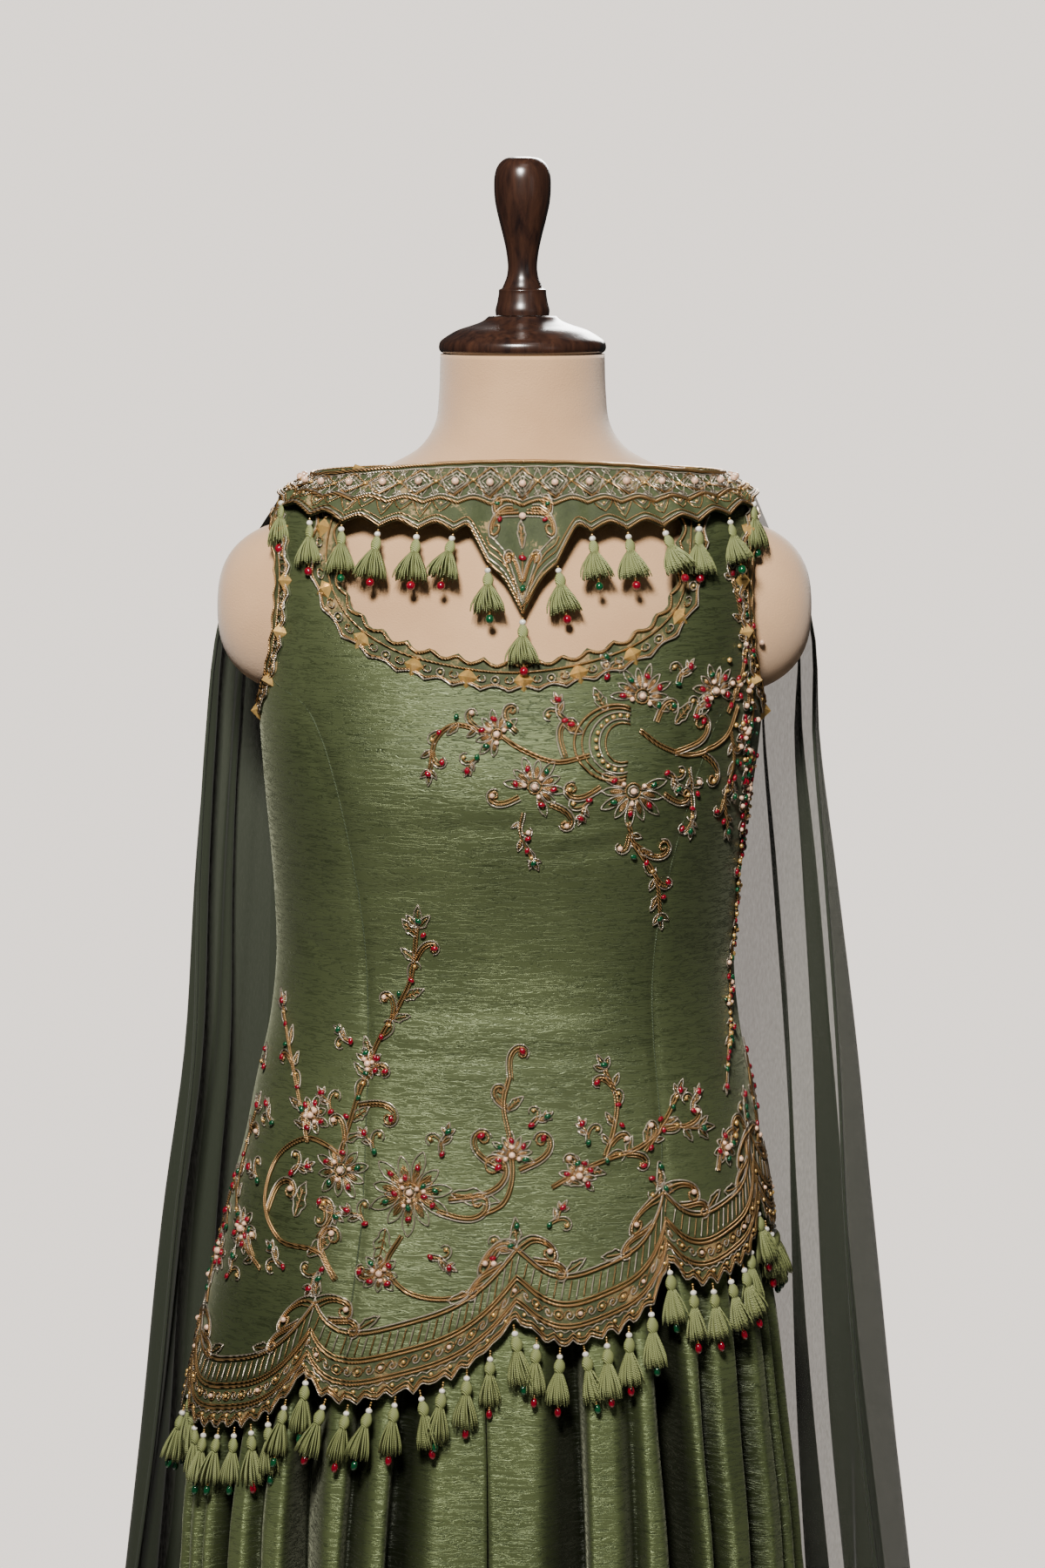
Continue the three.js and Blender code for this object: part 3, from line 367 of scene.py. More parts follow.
def pale_floor():
    mat, shader = start_material("pale_paper", (0.84, 0.80, 0.75), 0.95)
    cloud = noise(mat, coordinates(mat), 0.8, 2)
    join(mat, ramp(mat, cloud, [(0.3, (0.82, 0.78, 0.73)), (0.7, (0.87, 0.83, 0.785))]),
              shader.inputs["Base Color"])
    turns = np.linspace(0, TAU, 96, endpoint=False)
    verts = [(FLOOR_RADIUS * math.sin(t), FLOOR_RADIUS * math.cos(t), z) for z in (0.0, -0.01) for t in turns]
    count = len(turns)
    faces = [list(range(count))[::-1]]
    faces += [(k, (k + 1) % count, count + (k + 1) % count, count + k) for k in range(count)]
    mesh = bpy.data.meshes.new("floor")
    mesh.from_pydata(verts, [], faces)
    mesh.materials.append(mat)
    mesh.shade_smooth()
    floor = bpy.data.objects.new("floor", mesh)
    bpy.context.scene.collection.objects.link(floor)


pale_floor()

# %% [markdown]
# ## The shapes behind the cloth
# A garment on a form is a stack of rounded rings. Each table below gives the rings' half sizes to the
# wearer's right, left, front and back at some heights, and a smooth curve runs through its rows.


# %% Ring tables
class Rows:
    def __init__(self, rows):
        data = np.array(sorted(rows), float)
        self.z, self.v = data[:, 0], data[:, 1:]
        slope = np.zeros_like(self.v)
        slope[1:-1] = (self.v[2:] - self.v[:-2]) / (self.z[2:] - self.z[:-2])[:, None]
        slope[0] = (self.v[1] - self.v[0]) / (self.z[1] - self.z[0])
        slope[-1] = (self.v[-1] - self.v[-2]) / (self.z[-1] - self.z[-2])
        self.slope = slope

    def at(self, z):
        z = np.clip(np.asarray(z, float), self.z[0], self.z[-1])
        i = np.clip(np.searchsorted(self.z, z, side="right") - 1, 0, len(self.z) - 2)
        span = self.z[i + 1] - self.z[i]
        t = ((z - self.z[i]) / span)[..., None]
        span = span[..., None]
        a, b, m, n = self.v[i], self.v[i + 1], self.slope[i] * span, self.slope[i + 1] * span
        value = (2 * t**3 - 3 * t**2 + 1) * a + (t**3 - 2 * t**2 + t) * m
        return value + (3 * t**2 - 2 * t**3) * b + (t**3 - t**2) * n


FORM = Rows([
    (1478, 56, 56, 56, 56), (1450, 57, 57, 57, 57), (1430, 60, 60, 60, 61), (1414, 71, 71, 64, 67),
    (1404.7, 87, 87, 67, 72), (1395.7, 109, 109, 71, 78), (1386.7, 135, 129, 75, 83),
    (1376.7, 155, 146, 80, 89), (1335, 172, 159, 96, 103), (1300, 173, 159, 105, 107),
    (1242, 172, 156, 116, 107), (1195, 166, 150, 123, 104), (1110, 142, 125, 103, 95),
    (1065, 133, 113, 92, 91), (950, 165, 146, 107, 111), (900, 175, 156, 109, 118),
    (810, 165, 147, 96, 106), (785, 141, 125, 79, 87), (775, 100, 90, 56, 62)])
KURTI = Rows([
    (1405, 92, 92, 72, 77), (1396, 116, 116, 77, 84), (1387, 143, 137, 83, 91), (1377, 164, 155, 88, 97),
    (1360, 176, 164, 95, 104), (1335, 180, 167, 103, 110), (1300, 181, 167, 112, 114),
    (1242, 181, 165, 123, 114), (1195, 178, 160, 131, 112), (1150, 174, 153, 126, 109),
    (1110, 171, 149, 119, 107), (1065, 170, 146, 113, 106), (1020, 175, 150, 115, 111),
    (978, 185, 158, 119, 118), (939, 193, 165, 124, 125), (906, 202, 171, 129, 131),
    (862, 212, 176, 136, 137), (824, 221, 180, 141, 142), (760, 234, 186, 149, 149),
    (700, 245, 192, 156, 156)])
SHARARA = Rows([
    (1055, 140, 120, 99, 98, 0, 0.4), (1010, 154, 134, 106, 107, 1, 0.4), (950, 174, 154, 114, 118, 2, 0.4),
    (900, 190, 165, 120, 127, 4, 0.4), (860, 202, 170, 126, 130, 6, 0.4), (811, 214, 178, 134, 137, 13, 0.4),
    (748, 227, 185, 143, 146, 19, 0.6), (684, 237, 193, 152, 156, 23, 1), (627, 241, 198, 161, 166, 27, 1.5),
    (500, 262, 220, 186, 194, 34, 2), (300, 300, 262, 226, 238, 44, 3), (45, 350, 315, 270, 284, 54, 4)])
CAPE = Rows([
    (1345, 190, 176, 54, 114, 1), (1292, 211, 201, 62, 122, 3), (1205, 222, 205, 66, 128, 6),
    (1110, 229, 215, 66, 132, 8), (983, 235, 227, 62, 146, 10), (864, 250, 235, 58, 166, 12),
    (683, 269, 249, 54, 196, 15), (450, 302, 275, 50, 240, 19), (110, 366, 336, 46, 318, 24)])
PRINCESS = Rows([
    (1405, 200, 200), (1374, 200, 200), (1360, 175, 163), (1300, 174, 160), (1262, 170, 157),
    (1245, 146, 137), (1195, 126, 116), (1107, 109, 93), (1048, 105, 88), (959, 106, 94), (900, 108, 96.5)])
ROUNDNESS = 2.3


def signed_power(value, exponent):
    return np.sign(value) * np.abs(value) ** exponent


def unit(vectors):
    return vectors / np.maximum(np.linalg.norm(vectors, axis=-1, keepdims=True), 1e-9)


def way_along(points):
    """The length of a line up to each of its points."""
    return np.concatenate([[0], np.cumsum(np.linalg.norm(np.diff(points, axis=0), axis=1))])


def ring(rows, angle, z, roundness=ROUNDNESS):
    angle, z = np.broadcast_arrays(np.asarray(angle, float), np.asarray(z, float))
    size = rows.at(z)
    c = signed_power(np.cos(angle), 2 / roundness)
    s = signed_power(np.sin(angle), 2 / roundness)
    wide = np.where(c < 0, size[..., 0], size[..., 1])
    deep = np.where(s < 0, size[..., 2], size[..., 3])
    return np.stack([wide * c, deep * s, z], axis=-1)


# %% [markdown]
# ## From grids to cloth
# Cloth begins as a grid of points. The grid is clipped where a signed value says that the cloth ends,
# which gives clean scalloped edges without a boolean, and Solidify gives the sheet its thickness.


# %% Mesh helpers
def clip_grid(points, keep, closed):
    rows, cols = keep.shape
    verts, faces, seen = [], [], {}

    def corner(r, c):
        key = (r, c % cols)
        if key not in seen:
            seen[key] = len(verts)
            verts.append(points[key])
        return seen[key]

    def cut(a, b):
        a, b = (a[0], a[1] % cols), (b[0], b[1] % cols)
        key = (a, b) if a < b else (b, a)
        if key not in seen:
            t = keep[a] / (keep[a] - keep[b])
            t = min(max(t, 0.02), 0.98)
            seen[key] = len(verts)
            verts.append(points[a] * (1 - t) + points[b] * t)
        return seen[key]

    for r in range(rows - 1):
        for c in range(cols if closed else cols - 1):
            cell = [(r, c), (r + 1, c), (r + 1, c + 1), (r, c + 1)]
            inside = [keep[i, j % cols] > 0 for i, j in cell]
            if not any(inside):
                continue
            face = []
            for k in range(4):
                nxt = (k + 1) % 4
                if inside[k]:
                    face.append(corner(*cell[k]))
                if inside[k] != inside[nxt]:
                    face.append(cut(cell[k], cell[nxt]))
            if len(face) > 2:
                faces.append(face)
    return np.array(verts), faces


def whole_grid(points, closed):
    return clip_grid(points, np.ones(points.shape[:2]), closed)


def make_piece(name, verts, faces, mat):
    mesh = bpy.data.meshes.new(name)
    mesh.from_pydata((np.asarray(verts)[:, :3] * MM).tolist(), [], faces)
    mesh.materials.append(mat)
    mesh.shade_smooth()
    piece = bpy.data.objects.new(name, mesh)
    bpy.context.scene.collection.objects.link(piece)
    return piece


def thicken(piece, millimetres):
    wall = piece.modifiers.new("wall", "SOLIDIFY")
    wall.thickness = millimetres * MM
    wall.offset = -1
    wall.use_even_offset = False
    return piece


def lifted(surface, angle, place, turn_step, place_step, lift):
    """Points lifted off a surface along its normals, and the normals."""
    p = surface(angle, place)
    across = surface(angle + turn_step, place) - surface(angle - turn_step, place)
    down = surface(angle, np.asarray(place) + place_step) - surface(angle, np.asarray(place) - place_step)
    normal = unit(np.cross(down, across))
    return p + normal * np.asarray(lift)[..., None], normal


def plain_mesh(piece):
    depsgraph = bpy.context.evaluated_depsgraph_get()
    mesh = bpy.data.meshes.new_from_object(piece.evaluated_get(depsgraph))
    piece.modifiers.clear()
    old = piece.data
    piece.data = mesh
    bpy.data.meshes.remove(old)
    mesh.name = piece.name
    return piece


def grid_normals(points, closed):
    down = np.gradient(points, axis=0)
    if closed:
        across = (np.roll(points, -1, axis=1) - np.roll(points, 1, axis=1)) / 2
    else:
        across = np.gradient(points, axis=1)
    return unit(np.cross(down, across))


def dress(piece, *nodes, slot=None):
    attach(piece, "root")
    if nodes:
        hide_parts(*nodes)
    return piece


# %% [markdown]
# ## The dress form
# A limbless form is a smooth torso with rounded caps where the arms would be. The torso is one fine
# loft of rings, and each cap is a flattened ball that meets it at a stitched ring.


# %% Torso and arm caps
def loft(rings):
    rows, cols = len(rings), len(rings[0])
    verts = [p for one in rings for p in one]
    faces = [(r * cols + c, (r + 1) * cols + c, (r + 1) * cols + (c + 1) % cols, r * cols + (c + 1) % cols)
             for r in range(rows - 1) for c in range(cols)]
    faces.append(list(range(cols)))
    faces.append(list(range(rows * cols - 1, (rows - 1) * cols - 1, -1)))
    return np.array(verts), faces


def dress_form():
    angles = np.linspace(0, TAU, 96, endpoint=False)
    heights = np.concatenate([np.linspace(1478, 1372, 40), np.linspace(1366, 775, 74)])
    torso, faces = loft([ring(FORM, angles, z, 2.2) for z in heights])
    verts = [torso]
    for side, wide in ((-1, 150), (1, 139)):
        turns = np.linspace(0, math.pi / 2 * 0.995, 22)
        around = side * np.linspace(0, TAU, 56, endpoint=False)
        rings = []
        for turn in turns:
            size = math.cos(turn) ** 0.75
            x = side * (wide + 59 * math.sin(turn))
            rings.append(np.stack([np.full(56, x), 43 * size * np.cos(around),
                                   1305.5 - 60 * size * np.sin(around)], axis=-1))
        cap, cap_faces = loft(rings)
        start = sum(len(v) for v in verts)
        faces += [[start + i for i in face] for face in cap_faces]
        verts.append(cap)
    form = make_piece("form", np.concatenate(verts), faces, SUEDE)
    dress(form, "form_torso", slot="suede")


dress_form()


# %% [markdown]
# The neck cap, the knob, the pole and the base are turned parts, so each is a profile spun round.


# %% Turned parts
def smooth_profile(points, steps=6):
    points = np.array(points, float)
    padded = np.vstack([2 * points[0] - points[1], points, 2 * points[-1] - points[-2]])
    out = []
    for i in range(1, len(padded) - 2):
        a, b, c, d = padded[i - 1:i + 3]
        for t in np.linspace(0, 1, steps, endpoint=False):
            out.append(0.5 * ((2 * b) + (c - a) * t + (2 * a - 5 * b + 4 * c - d) * t**2
                              + (3 * b - a - 3 * c + d) * t**3))
    out.append(points[-1])
    return out


def turned(name, profile, mat, node, slot, segments=64, steps=6):
    angles = np.linspace(0, TAU, segments, endpoint=False)
    rings = [np.stack([r * np.cos(angles), r * np.sin(angles), np.full(segments, z)], axis=-1)
             for r, z in reversed(smooth_profile(profile, steps) if steps else profile)]
    verts, faces = loft(rings)
    return dress(make_piece(name, verts, faces, mat), node, slot=slot)


turned("neck_cap_wood", [(54, 1478.4), (56.2, 1480), (57, 1483), (55.6, 1487), (50, 1491), (43.5, 1494.5),
                         (34, 1497.6), (27, 1500.4), (23, 1503.6)], WOOD, "neck_cap", "dark_wood")
turned("finial_wood", [(18.2, 1504), (18.4, 1508), (17.2, 1513), (16.2, 1519), (16.0, 1521.5), (14.0, 1522.5),
                       (12.4, 1526), (10.6, 1531), (10.0, 1538), (11.2, 1548), (13.6, 1559), (16.4, 1570),
                       (18.5, 1580), (19.3, 1589), (19.0, 1598), (16.8, 1605), (12, 1609.6), (5, 1611)],
       WOOD, "finial_knob", "dark_wood")
turned("pole_steel", [(14, 18.3), (14, 774.6)], STEEL, "stand_pole", "steel", 48, 0)
turned("base_wood", [(168, 0), (170, 2), (170, 9), (168.5, 13.5), (164, 16), (90, 17.2), (26, 18)],
       WOOD, "stand_base", "dark_wood", 96, 5)


# %% [markdown]
# ## The kurti's outline
# The hem hangs in lobes between cusps and slants down to the wearer's right. The neckline and the
# armholes are outlines drawn from the front and the side. A point's distance to an outline, and its
# place along it, say whether it is cloth, border or opening.


# %% Hem, neckline and armholes
HEM_CUSPS = np.array([-20, 24, 59, 90, 119, 154, 188, 233.4, 269.4, 301, 340])
HEM_TOOTH_PITCH = 12.5


def hem_height(degrees):
    turn = (np.asarray(degrees, float) + 20) % 360 - 20
    i = np.clip(np.searchsorted(HEM_CUSPS, turn, side="right"), 1, len(HEM_CUSPS) - 1)
    share = (turn - HEM_CUSPS[i - 1]) / (HEM_CUSPS[i] - HEM_CUSPS[i - 1])
    return 812 + 68 * np.cos(np.radians(turn)) + 30 * np.abs(2 * share - 1) ** 3.5


def arc_tables():
    angles = np.linspace(0, TAU, 1441)
    heights = np.arange(690, 1411, 5.0)
    points = ring(KURTI, angles[None, :], heights[:, None])
    steps = np.linalg.norm(np.diff(points, axis=1), axis=-1)
    arcs = np.concatenate([np.zeros((len(heights), 1)), np.cumsum(steps, axis=1)], axis=1)
    front = arcs[:, 1080:1081]
    return angles, heights, arcs - front


ARC_ANGLES, ARC_HEIGHTS, ARCS = arc_tables()


def angle_at(u, z):
    """Angle round the kurti of a point u mm from the front's middle, towards the wearer's left."""
    row = np.clip((np.asarray(z) - ARC_HEIGHTS[0]) / 5.0, 0, len(ARC_HEIGHTS) - 1.001)
    out = np.empty(len(row))
    for i, (at, want) in enumerate(zip(row, u)):
        k = int(at)
        a = np.interp(want, ARCS[k], ARC_ANGLES)
        b = np.interp(want, ARCS[k + 1], ARC_ANGLES)
        out[i] = a + (b - a) * (at - k)
    return out


def spline(points, count):
    points = np.array(points, float)
    fine = np.array(smooth_profile(points, 12))
    along = way_along(fine)
    want = np.linspace(0, along[-1], count)
    return np.stack([np.interp(want, along, fine[:, k]) for k in range(fine.shape[1])], axis=-1)


NECK_FRONT = spline([(-114, 1440), (-116, 1395), (-126, 1346), (-114, 1312), (-86, 1291), (-46, 1280),
                     (-6, 1276), (36, 1281), (74, 1294), (98, 1315), (106, 1346), (108, 1395),
                     (108, 1440)], 161)
NECK_BACK = spline([(-114, 1440), (-116, 1395), (-98, 1372), (-50, 1358), (0, 1354), (46, 1358),
                    (92, 1372), (108, 1395), (108, 1440)], 121)
round_turns = np.linspace(0, TAU, 121)
ARMHOLE = np.stack([51 * signed_power(np.cos(round_turns), 0.85),
                    1306 + 65 * signed_power(np.sin(round_turns), 0.85)], axis=-1)


def outline_distance(points, outline):
    """Distance from an outline, positive outside it, and the place along it of the nearest point."""
    a, b = outline[:-1], outline[1:]
    step = b - a
    length = np.linalg.norm(step, axis=1)
    start = np.concatenate([[0], np.cumsum(length)[:-1]])
    best = np.full(len(points), 1e9)
    place = np.zeros(len(points))
    for i in range(len(a)):
        t = np.clip(((points - a[i]) @ step[i]) / max(length[i] ** 2, 1e-9), 0, 1)
        gap = np.linalg.norm(points - (a[i] + t[:, None] * step[i]), axis=1)
        closer = gap < best
        best[closer] = gap[closer]
        place[closer] = start[i] + t[closer] * length[i]
    inside = np.zeros(len(points), bool)
    for i in range(len(outline)):
        p, q = outline[i - 1], outline[i]
        if p[1] == q[1]:
            continue
        crosses = (p[1] > points[:, 1]) != (q[1] > points[:, 1])
        x = (q[0] - p[0]) * (points[:, 1] - p[1]) / (q[1] - p[1]) + p[0]
        inside ^= crosses & (points[:, 0] < x)
    return np.where(inside, -best, best), place


def pointed(place, pitch):
    """1 at the tip of each pointed scallop along an edge, 0 between two of them."""
    share = (np.asarray(place) / pitch) % 1
    return np.abs(2 * share - 1) ** 1.6


# %% [markdown]
# ## The kurti's surface
# The cloth follows its rings, with a shallow groove at each princess seam, soft drag lines where it is
# fitted and slow waves towards the hem. The same function places every stitch and bead later, so that
# the embroidery always lies on the cloth.


# %% Points and normals on the kurti
DRAG_LINES = [
    (-60, 1165, 70, 1176, 1.1, 5), (10, 1150, 92, 1166, 1.3, 5), (-110, 1120, -30, 1128, 0.8, 5),
    (-150, 1230, -118, 1170, 1.2, 7), (98, 1240, 118, 1180, 1.2, 7), (-90, 1040, 40, 1046, 0.9, 6),
    (-60, 1010, 80, 1018, 0.8, 6), (-140, 985, -70, 1000, 1.0, 7), (20, 930, 110, 945, 1.0, 8),
    (-150, 905, -60, 912, 1.0, 8), (-175, 1090, -120, 1078, 1.2, 6), (100, 1085, 150, 1070, 1.2, 6)]


def drag(u, z):
    depth = np.zeros(np.shape(u))
    for u0, z0, u1, z1, deep, wide in DRAG_LINES:
        step = np.array([u1 - u0, z1 - z0], float)
        t = ((u - u0) * step[0] + (z - z0) * step[1]) / (step @ step)
        inside = np.clip(t, 0, 1)
        gap = np.hypot(u - u0 - inside * step[0], z - z0 - inside * step[1])
        depth += deep * np.exp(-(gap / wide) ** 2) * np.sin(math.pi * np.clip(0.08 + 0.84 * t, 0, 1))
    return depth


def seam_angles(z):
    x = PRINCESS.at(np.maximum(z, 900))
    size = KURTI.at(np.maximum(z, 900))
    right = np.arccos(-np.minimum(1, x[..., 0] / size[..., 0]) ** (ROUNDNESS / 2))
    left = np.arccos(np.minimum(1, x[..., 1] / size[..., 1]) ** (ROUNDNESS / 2))
    return right, left


def kurti_surface(angle, z):
    angle, z = np.broadcast_arrays(np.asarray(angle, float), np.asarray(z, float))
    p = ring(KURTI, angle, z)
    size = np.hypot(p[..., 0], p[..., 1])
    right, left = seam_angles(z)
    groove = np.zeros(angle.shape)
    for seam in (right, left, TAU - right, TAU - left):
        gap = (angle - seam) * size
        fade = np.clip((1262 - z) / 20, 0, 1)
        groove += fade * (1.0 * np.exp(-(gap / 2.2) ** 2) + 0.5 * np.exp(-(gap / 8) ** 2))
    for side in (0, math.pi, TAU):
        gap = (angle - side) * size
        groove += 0.8 * np.exp(-(gap / 2.4) ** 2) * np.clip((1245 - z) / 15, 0, 1)
    low = np.clip((1000 - z) / 240, 0, 1)
    waves = low * (2.2 * np.sin(5 * angle + 0.6 + z / 160) + 1.2 * np.sin(9 * angle + 2.0))
    u = (angle - 1.5 * math.pi) * size
    d = waves - groove - drag(u, z) * (np.sin(angle) < 0)
    out = np.stack([p[..., 0], p[..., 1], np.zeros(angle.shape)], axis=-1)
    out = unit(out)
    slack = np.clip((1390 - z) / 25, 0, 1)
    return p + out * (d * slack)[..., None]


def on_kurti(angle, z, lift):
    """Points lifted off the kurti along its normals."""
    return lifted(kurti_surface, angle, z, 0.01, -2, lift)


# %% Kurti cloth and the ground of its borders
def kurti_fields(points, angle):
    flat = points.reshape(-1, 3)
    front = flat[:, 1] < 0
    xz, yz = flat[:, [0, 2]], flat[:, [1, 2]]
    neck = np.full(len(flat), 999.0)
    place = np.zeros(len(flat))
    for mask, outline in ((front, NECK_FRONT), (~front, NECK_BACK)):
        near = mask & (flat[:, 2] > 1225)
        neck[near], place[near] = outline_distance(xz[near], outline)
    arm = np.full(len(flat), 999.0)
    arm_place = np.zeros(len(flat))
    near = (np.abs(flat[:, 0]) > 112) & (flat[:, 2] > 1195)
    arm[near], arm_place[near] = outline_distance(yz[near], ARMHOLE)
    shape = angle.shape
    return [v.reshape(shape) for v in (neck, place, arm, arm_place)]


COLUMNS = 300
angles = np.linspace(0, TAU, COLUMNS, endpoint=False)
rows = np.concatenate([np.linspace(1404.5, 1372, 14), np.linspace(1368, 1000, 84)])
angle_grid = np.broadcast_to(angles, (len(rows), COLUMNS))
z_grid = np.broadcast_to(rows[:, None], angle_grid.shape)
lower = np.linspace(0, 1, 44)[1:] ** 0.85
hem_low = hem_height(np.degrees(angles)) - 12
lower_z = 1000 + (hem_low[None, :] - 1000) * lower[:, None]
angle_grid = np.vstack([angle_grid, np.broadcast_to(angles, lower_z.shape)])
z_grid = np.vstack([z_grid, lower_z])
kurti_points = kurti_surface(angle_grid, z_grid)
kurti_normals = grid_normals(kurti_points, True)
neck_gap, neck_place, arm_gap, arm_place = kurti_fields(kurti_points, angle_grid)
hem_ring = ring(KURTI, angles, 800.0)
arc = np.cumsum(np.linalg.norm(np.diff(hem_ring, axis=0, append=hem_ring[:1]), axis=-1))
hem_teeth = pointed(arc, HEM_TOOTH_PITCH)[None, :]
hem_gap = z_grid - hem_height(np.degrees(angle_grid)) - 3 + 8 * hem_teeth
NECK_PITCH, ARM_PITCH = 17.6, 16.0
NECK_TOOTH, ARM_TOOTH = 5, 3
neck_edge = neck_gap + NECK_TOOTH * pointed(neck_place, NECK_PITCH)
arm_edge = arm_gap + ARM_TOOTH * pointed(arm_place, ARM_PITCH)
cloth = np.minimum(np.minimum(neck_edge, arm_edge), hem_gap)

verts, faces = clip_grid(kurti_points, cloth, True)
kurti = thicken(make_piece("kurti_cloth", verts, faces, SATIN), 0.9)
PANELS = ["kurti_side_back_left", "kurti_centre_back", "kurti_side_back_right",
          "kurti_side_front_right", "kurti_centre_front", "kurti_side_front_left"]
dress(kurti, *PANELS, slot="satin")
print("kurti cloth:", len(verts), "points")


def border_piece(name, keep, node, lift=0.5):
    verts, faces = clip_grid(kurti_points + kurti_normals * lift, np.minimum(keep, cloth), True)
    return dress(thicken(make_piece(name, verts, faces, GROUND), 0.4), node, slot="zari")


neck_keep = 18.5 - neck_gap - 3.5 * (1 - pointed(neck_place, NECK_PITCH))
neck_band = border_piece("neckline_ground", neck_keep, "neckline_border")
arm_keep = 13 - arm_gap - 2.5 * (1 - pointed(arm_place, ARM_PITCH))
arm_keep = np.minimum(arm_keep, neck_gap - 19)
left = kurti_points[..., 0] > 0
arm_left = border_piece("armhole_ground_left", np.where(left, arm_keep, -5), "armhole_border_left")
arm_right = border_piece("armhole_ground_right", np.where(left, -5, arm_keep), "armhole_border_right")
hem_keep = hem_height(np.degrees(angle_grid)) + 26 - z_grid
hem_band = border_piece("hem_ground", hem_keep, "hem_border")

# %% [markdown]
# ## The sharara
# Each leg is a flared sleeve of crushed satin whose folds deepen towards the floor. A fold is a soft
# trough that wanders a little and is never as deep as its neighbour, as gravity and a seam leave it.


# %% Sharara legs and waistband
LEG_SPLIT_X = -25
CROTCH_TOP, CROTCH_POINT, LEG_HEM = 800, 745, 45
LEG_FOLDS = [
    (0.062, 0.030, 0.65), (0.125, 0.022, 0.35), (0.188, 0.034, 1.0), (0.25, 0.022, 0.35),
    (0.32, 0.030, 0.75), (0.38, 0.020, 0.30), (0.438, 0.034, 0.95), (0.505, 0.022, 0.4),
    (0.57, 0.032, 0.8), (0.63, 0.020, 0.35), (0.688, 0.034, 1.0), (0.752, 0.022, 0.4),
    (0.82, 0.032, 0.85), (0.88, 0.020, 0.3), (0.938, 0.030, 0.65)]


def fold_depth(share, z, seed):
    depth = np.zeros(np.broadcast(share, z).shape)
    for i, (at, half, deep) in enumerate(LEG_FOLDS):
        drift = 0.006 * np.sin(z / 130 + i * 1.7 + seed)
        off = np.minimum(1, np.abs(share - at - drift) / half)
        wobble = 1 + 0.18 * np.sin(z / 90 + i * 2.3 + seed)
        depth += deep * wobble * (0.5 * (1 + np.cos(math.pi * off))) ** 1.3
    return FOLD_SCALE * depth


FOLD_SCALE = 1.9
INNER_WAVE = 5.0  # both inner sides swing alike, so that no slit shows between the legs
STRIP_COLUMNS = 10  # columns of each strip that joins a leg's front and back inside


def leg_grid(side):
    cols, seed = 321, 0.0 if side > 0 else 3.1
    rows = np.concatenate([np.linspace(1055, 800, 14), np.linspace(790, 745, 5), np.linspace(728, 45, 34)])
    size = SHARARA.at(rows)
    inner = LEG_SPLIT_X + side * size[:, 5]
    far = np.arccos(-((-inner / size[:, 0]) ** (ROUNDNESS / 2)))
    turn = 2 * far if side > 0 else 2 * far - TAU
    share = np.linspace(0, 1, cols)[None, :]
    z = rows[:, None]
    p = ring(SHARARA, -far[:, None] + turn[:, None] * share, np.broadcast_to(z, (len(rows), cols)))
    low = np.clip((CROTCH_TOP - z) / (CROTCH_TOP - LEG_HEM), 0, 1)
    p[..., 1] *= 1 - 0.2 * low**0.7 * np.abs(2 * share - 1) ** 8
    middle = inner[:, None] + side * (size[:, 1] if side > 0 else size[:, 0])[:, None] * 0.5
    way = np.stack([middle - p[..., 0], -p[..., 1] * 0.8, 0 * p[..., 0]], axis=-1)
    way = unit(way)
    fold = fold_depth(share, z, seed)
    p += way * (fold * size[:, 4:5])[..., None]
    p[..., 0] = np.where(side * (p[..., 0] - inner[:, None]) < 0, inner[:, None], p[..., 0])
    p[:, 0, 0] = p[:, -1, 0] = inner
    reach = np.clip((CROTCH_TOP - rows) / (CROTCH_TOP - CROTCH_POINT), 0, 1)
    strips = []
    for end, gap in ((0, -0.4), (-1, 0.4)):
        steps = np.arange(STRIP_COLUMNS) / STRIP_COLUMNS
        y = 6 + gap + (p[:, end, 1][:, None] - 6 - gap) * (1 - reach[:, None] * (1 - steps))
        strip = np.stack([np.broadcast_to(inner[:, None], y.shape), y, np.broadcast_to(z, y.shape)], axis=-1)
        strips.append(strip if end == 0 else strip[:, ::-1])
    whole = np.concatenate([strips[0], p, strips[1]], axis=1)
    near = np.exp(-(((whole[..., 0] - inner[:, None]) / 30) ** 2)) * np.clip((CROTCH_TOP - z) / 60, 0, 1)
    whole[..., 0] += INNER_WAVE * near * np.sin(whole[..., 1] / 40)
    # The weight of the satin's painted fold shade: the fold's depth, fading in below 980 mm, and none on the
    # joining strips.
    shade = np.clip(fold / FOLD_SCALE * np.clip((980 - z) / 120, 0, 1), 0, 1)
    shade = np.pad(shade, ((0, 0), (STRIP_COLUMNS, STRIP_COLUMNS)))
    whole = np.concatenate([whole, shade[..., None]], axis=-1)
    return whole if side > 0 else whole[:, ::-1]


def merged(piece, distance=0.00002):
    work = bmesh.new()
    work.from_mesh(piece.data)
    bmesh.ops.remove_doubles(work, verts=work.verts, dist=distance)
    bmesh.ops.dissolve_degenerate(work, edges=work.edges, dist=distance)
    work.to_mesh(piece.data)
    work.free()
    piece.data.shade_smooth()
    return piece


legs = {}
for side, word in ((1, "left"), (-1, "right")):
    grid = leg_grid(side)
    verts, faces = whole_grid(grid, False)
    leg = make_piece(f"sharara_{word}", verts, faces, SHARARA_SATIN)
    # The fold depth goes on the mesh as the weight of the painted fold shade.
    leg.data.attributes.new("fold", "FLOAT", "POINT").data.foreach_set("value", verts[:, 3].copy())
    merged(leg)
    legs[word] = dress(thicken(leg, 0.9), f"sharara_leg_{word}", slot="satin")
band_angles = np.linspace(0, TAU, 160, endpoint=False)
band = np.stack([ring(FORM, band_angles, z) for z in np.linspace(1092, 1056, 8)])
band += grid_normals(band, True) * 5.2
verts, faces = whole_grid(band, True)
waistband = thicken(make_piece("waistband", verts, faces, SATIN), 2.8)
dress(waistband, "sharara_waistband", slot="satin")

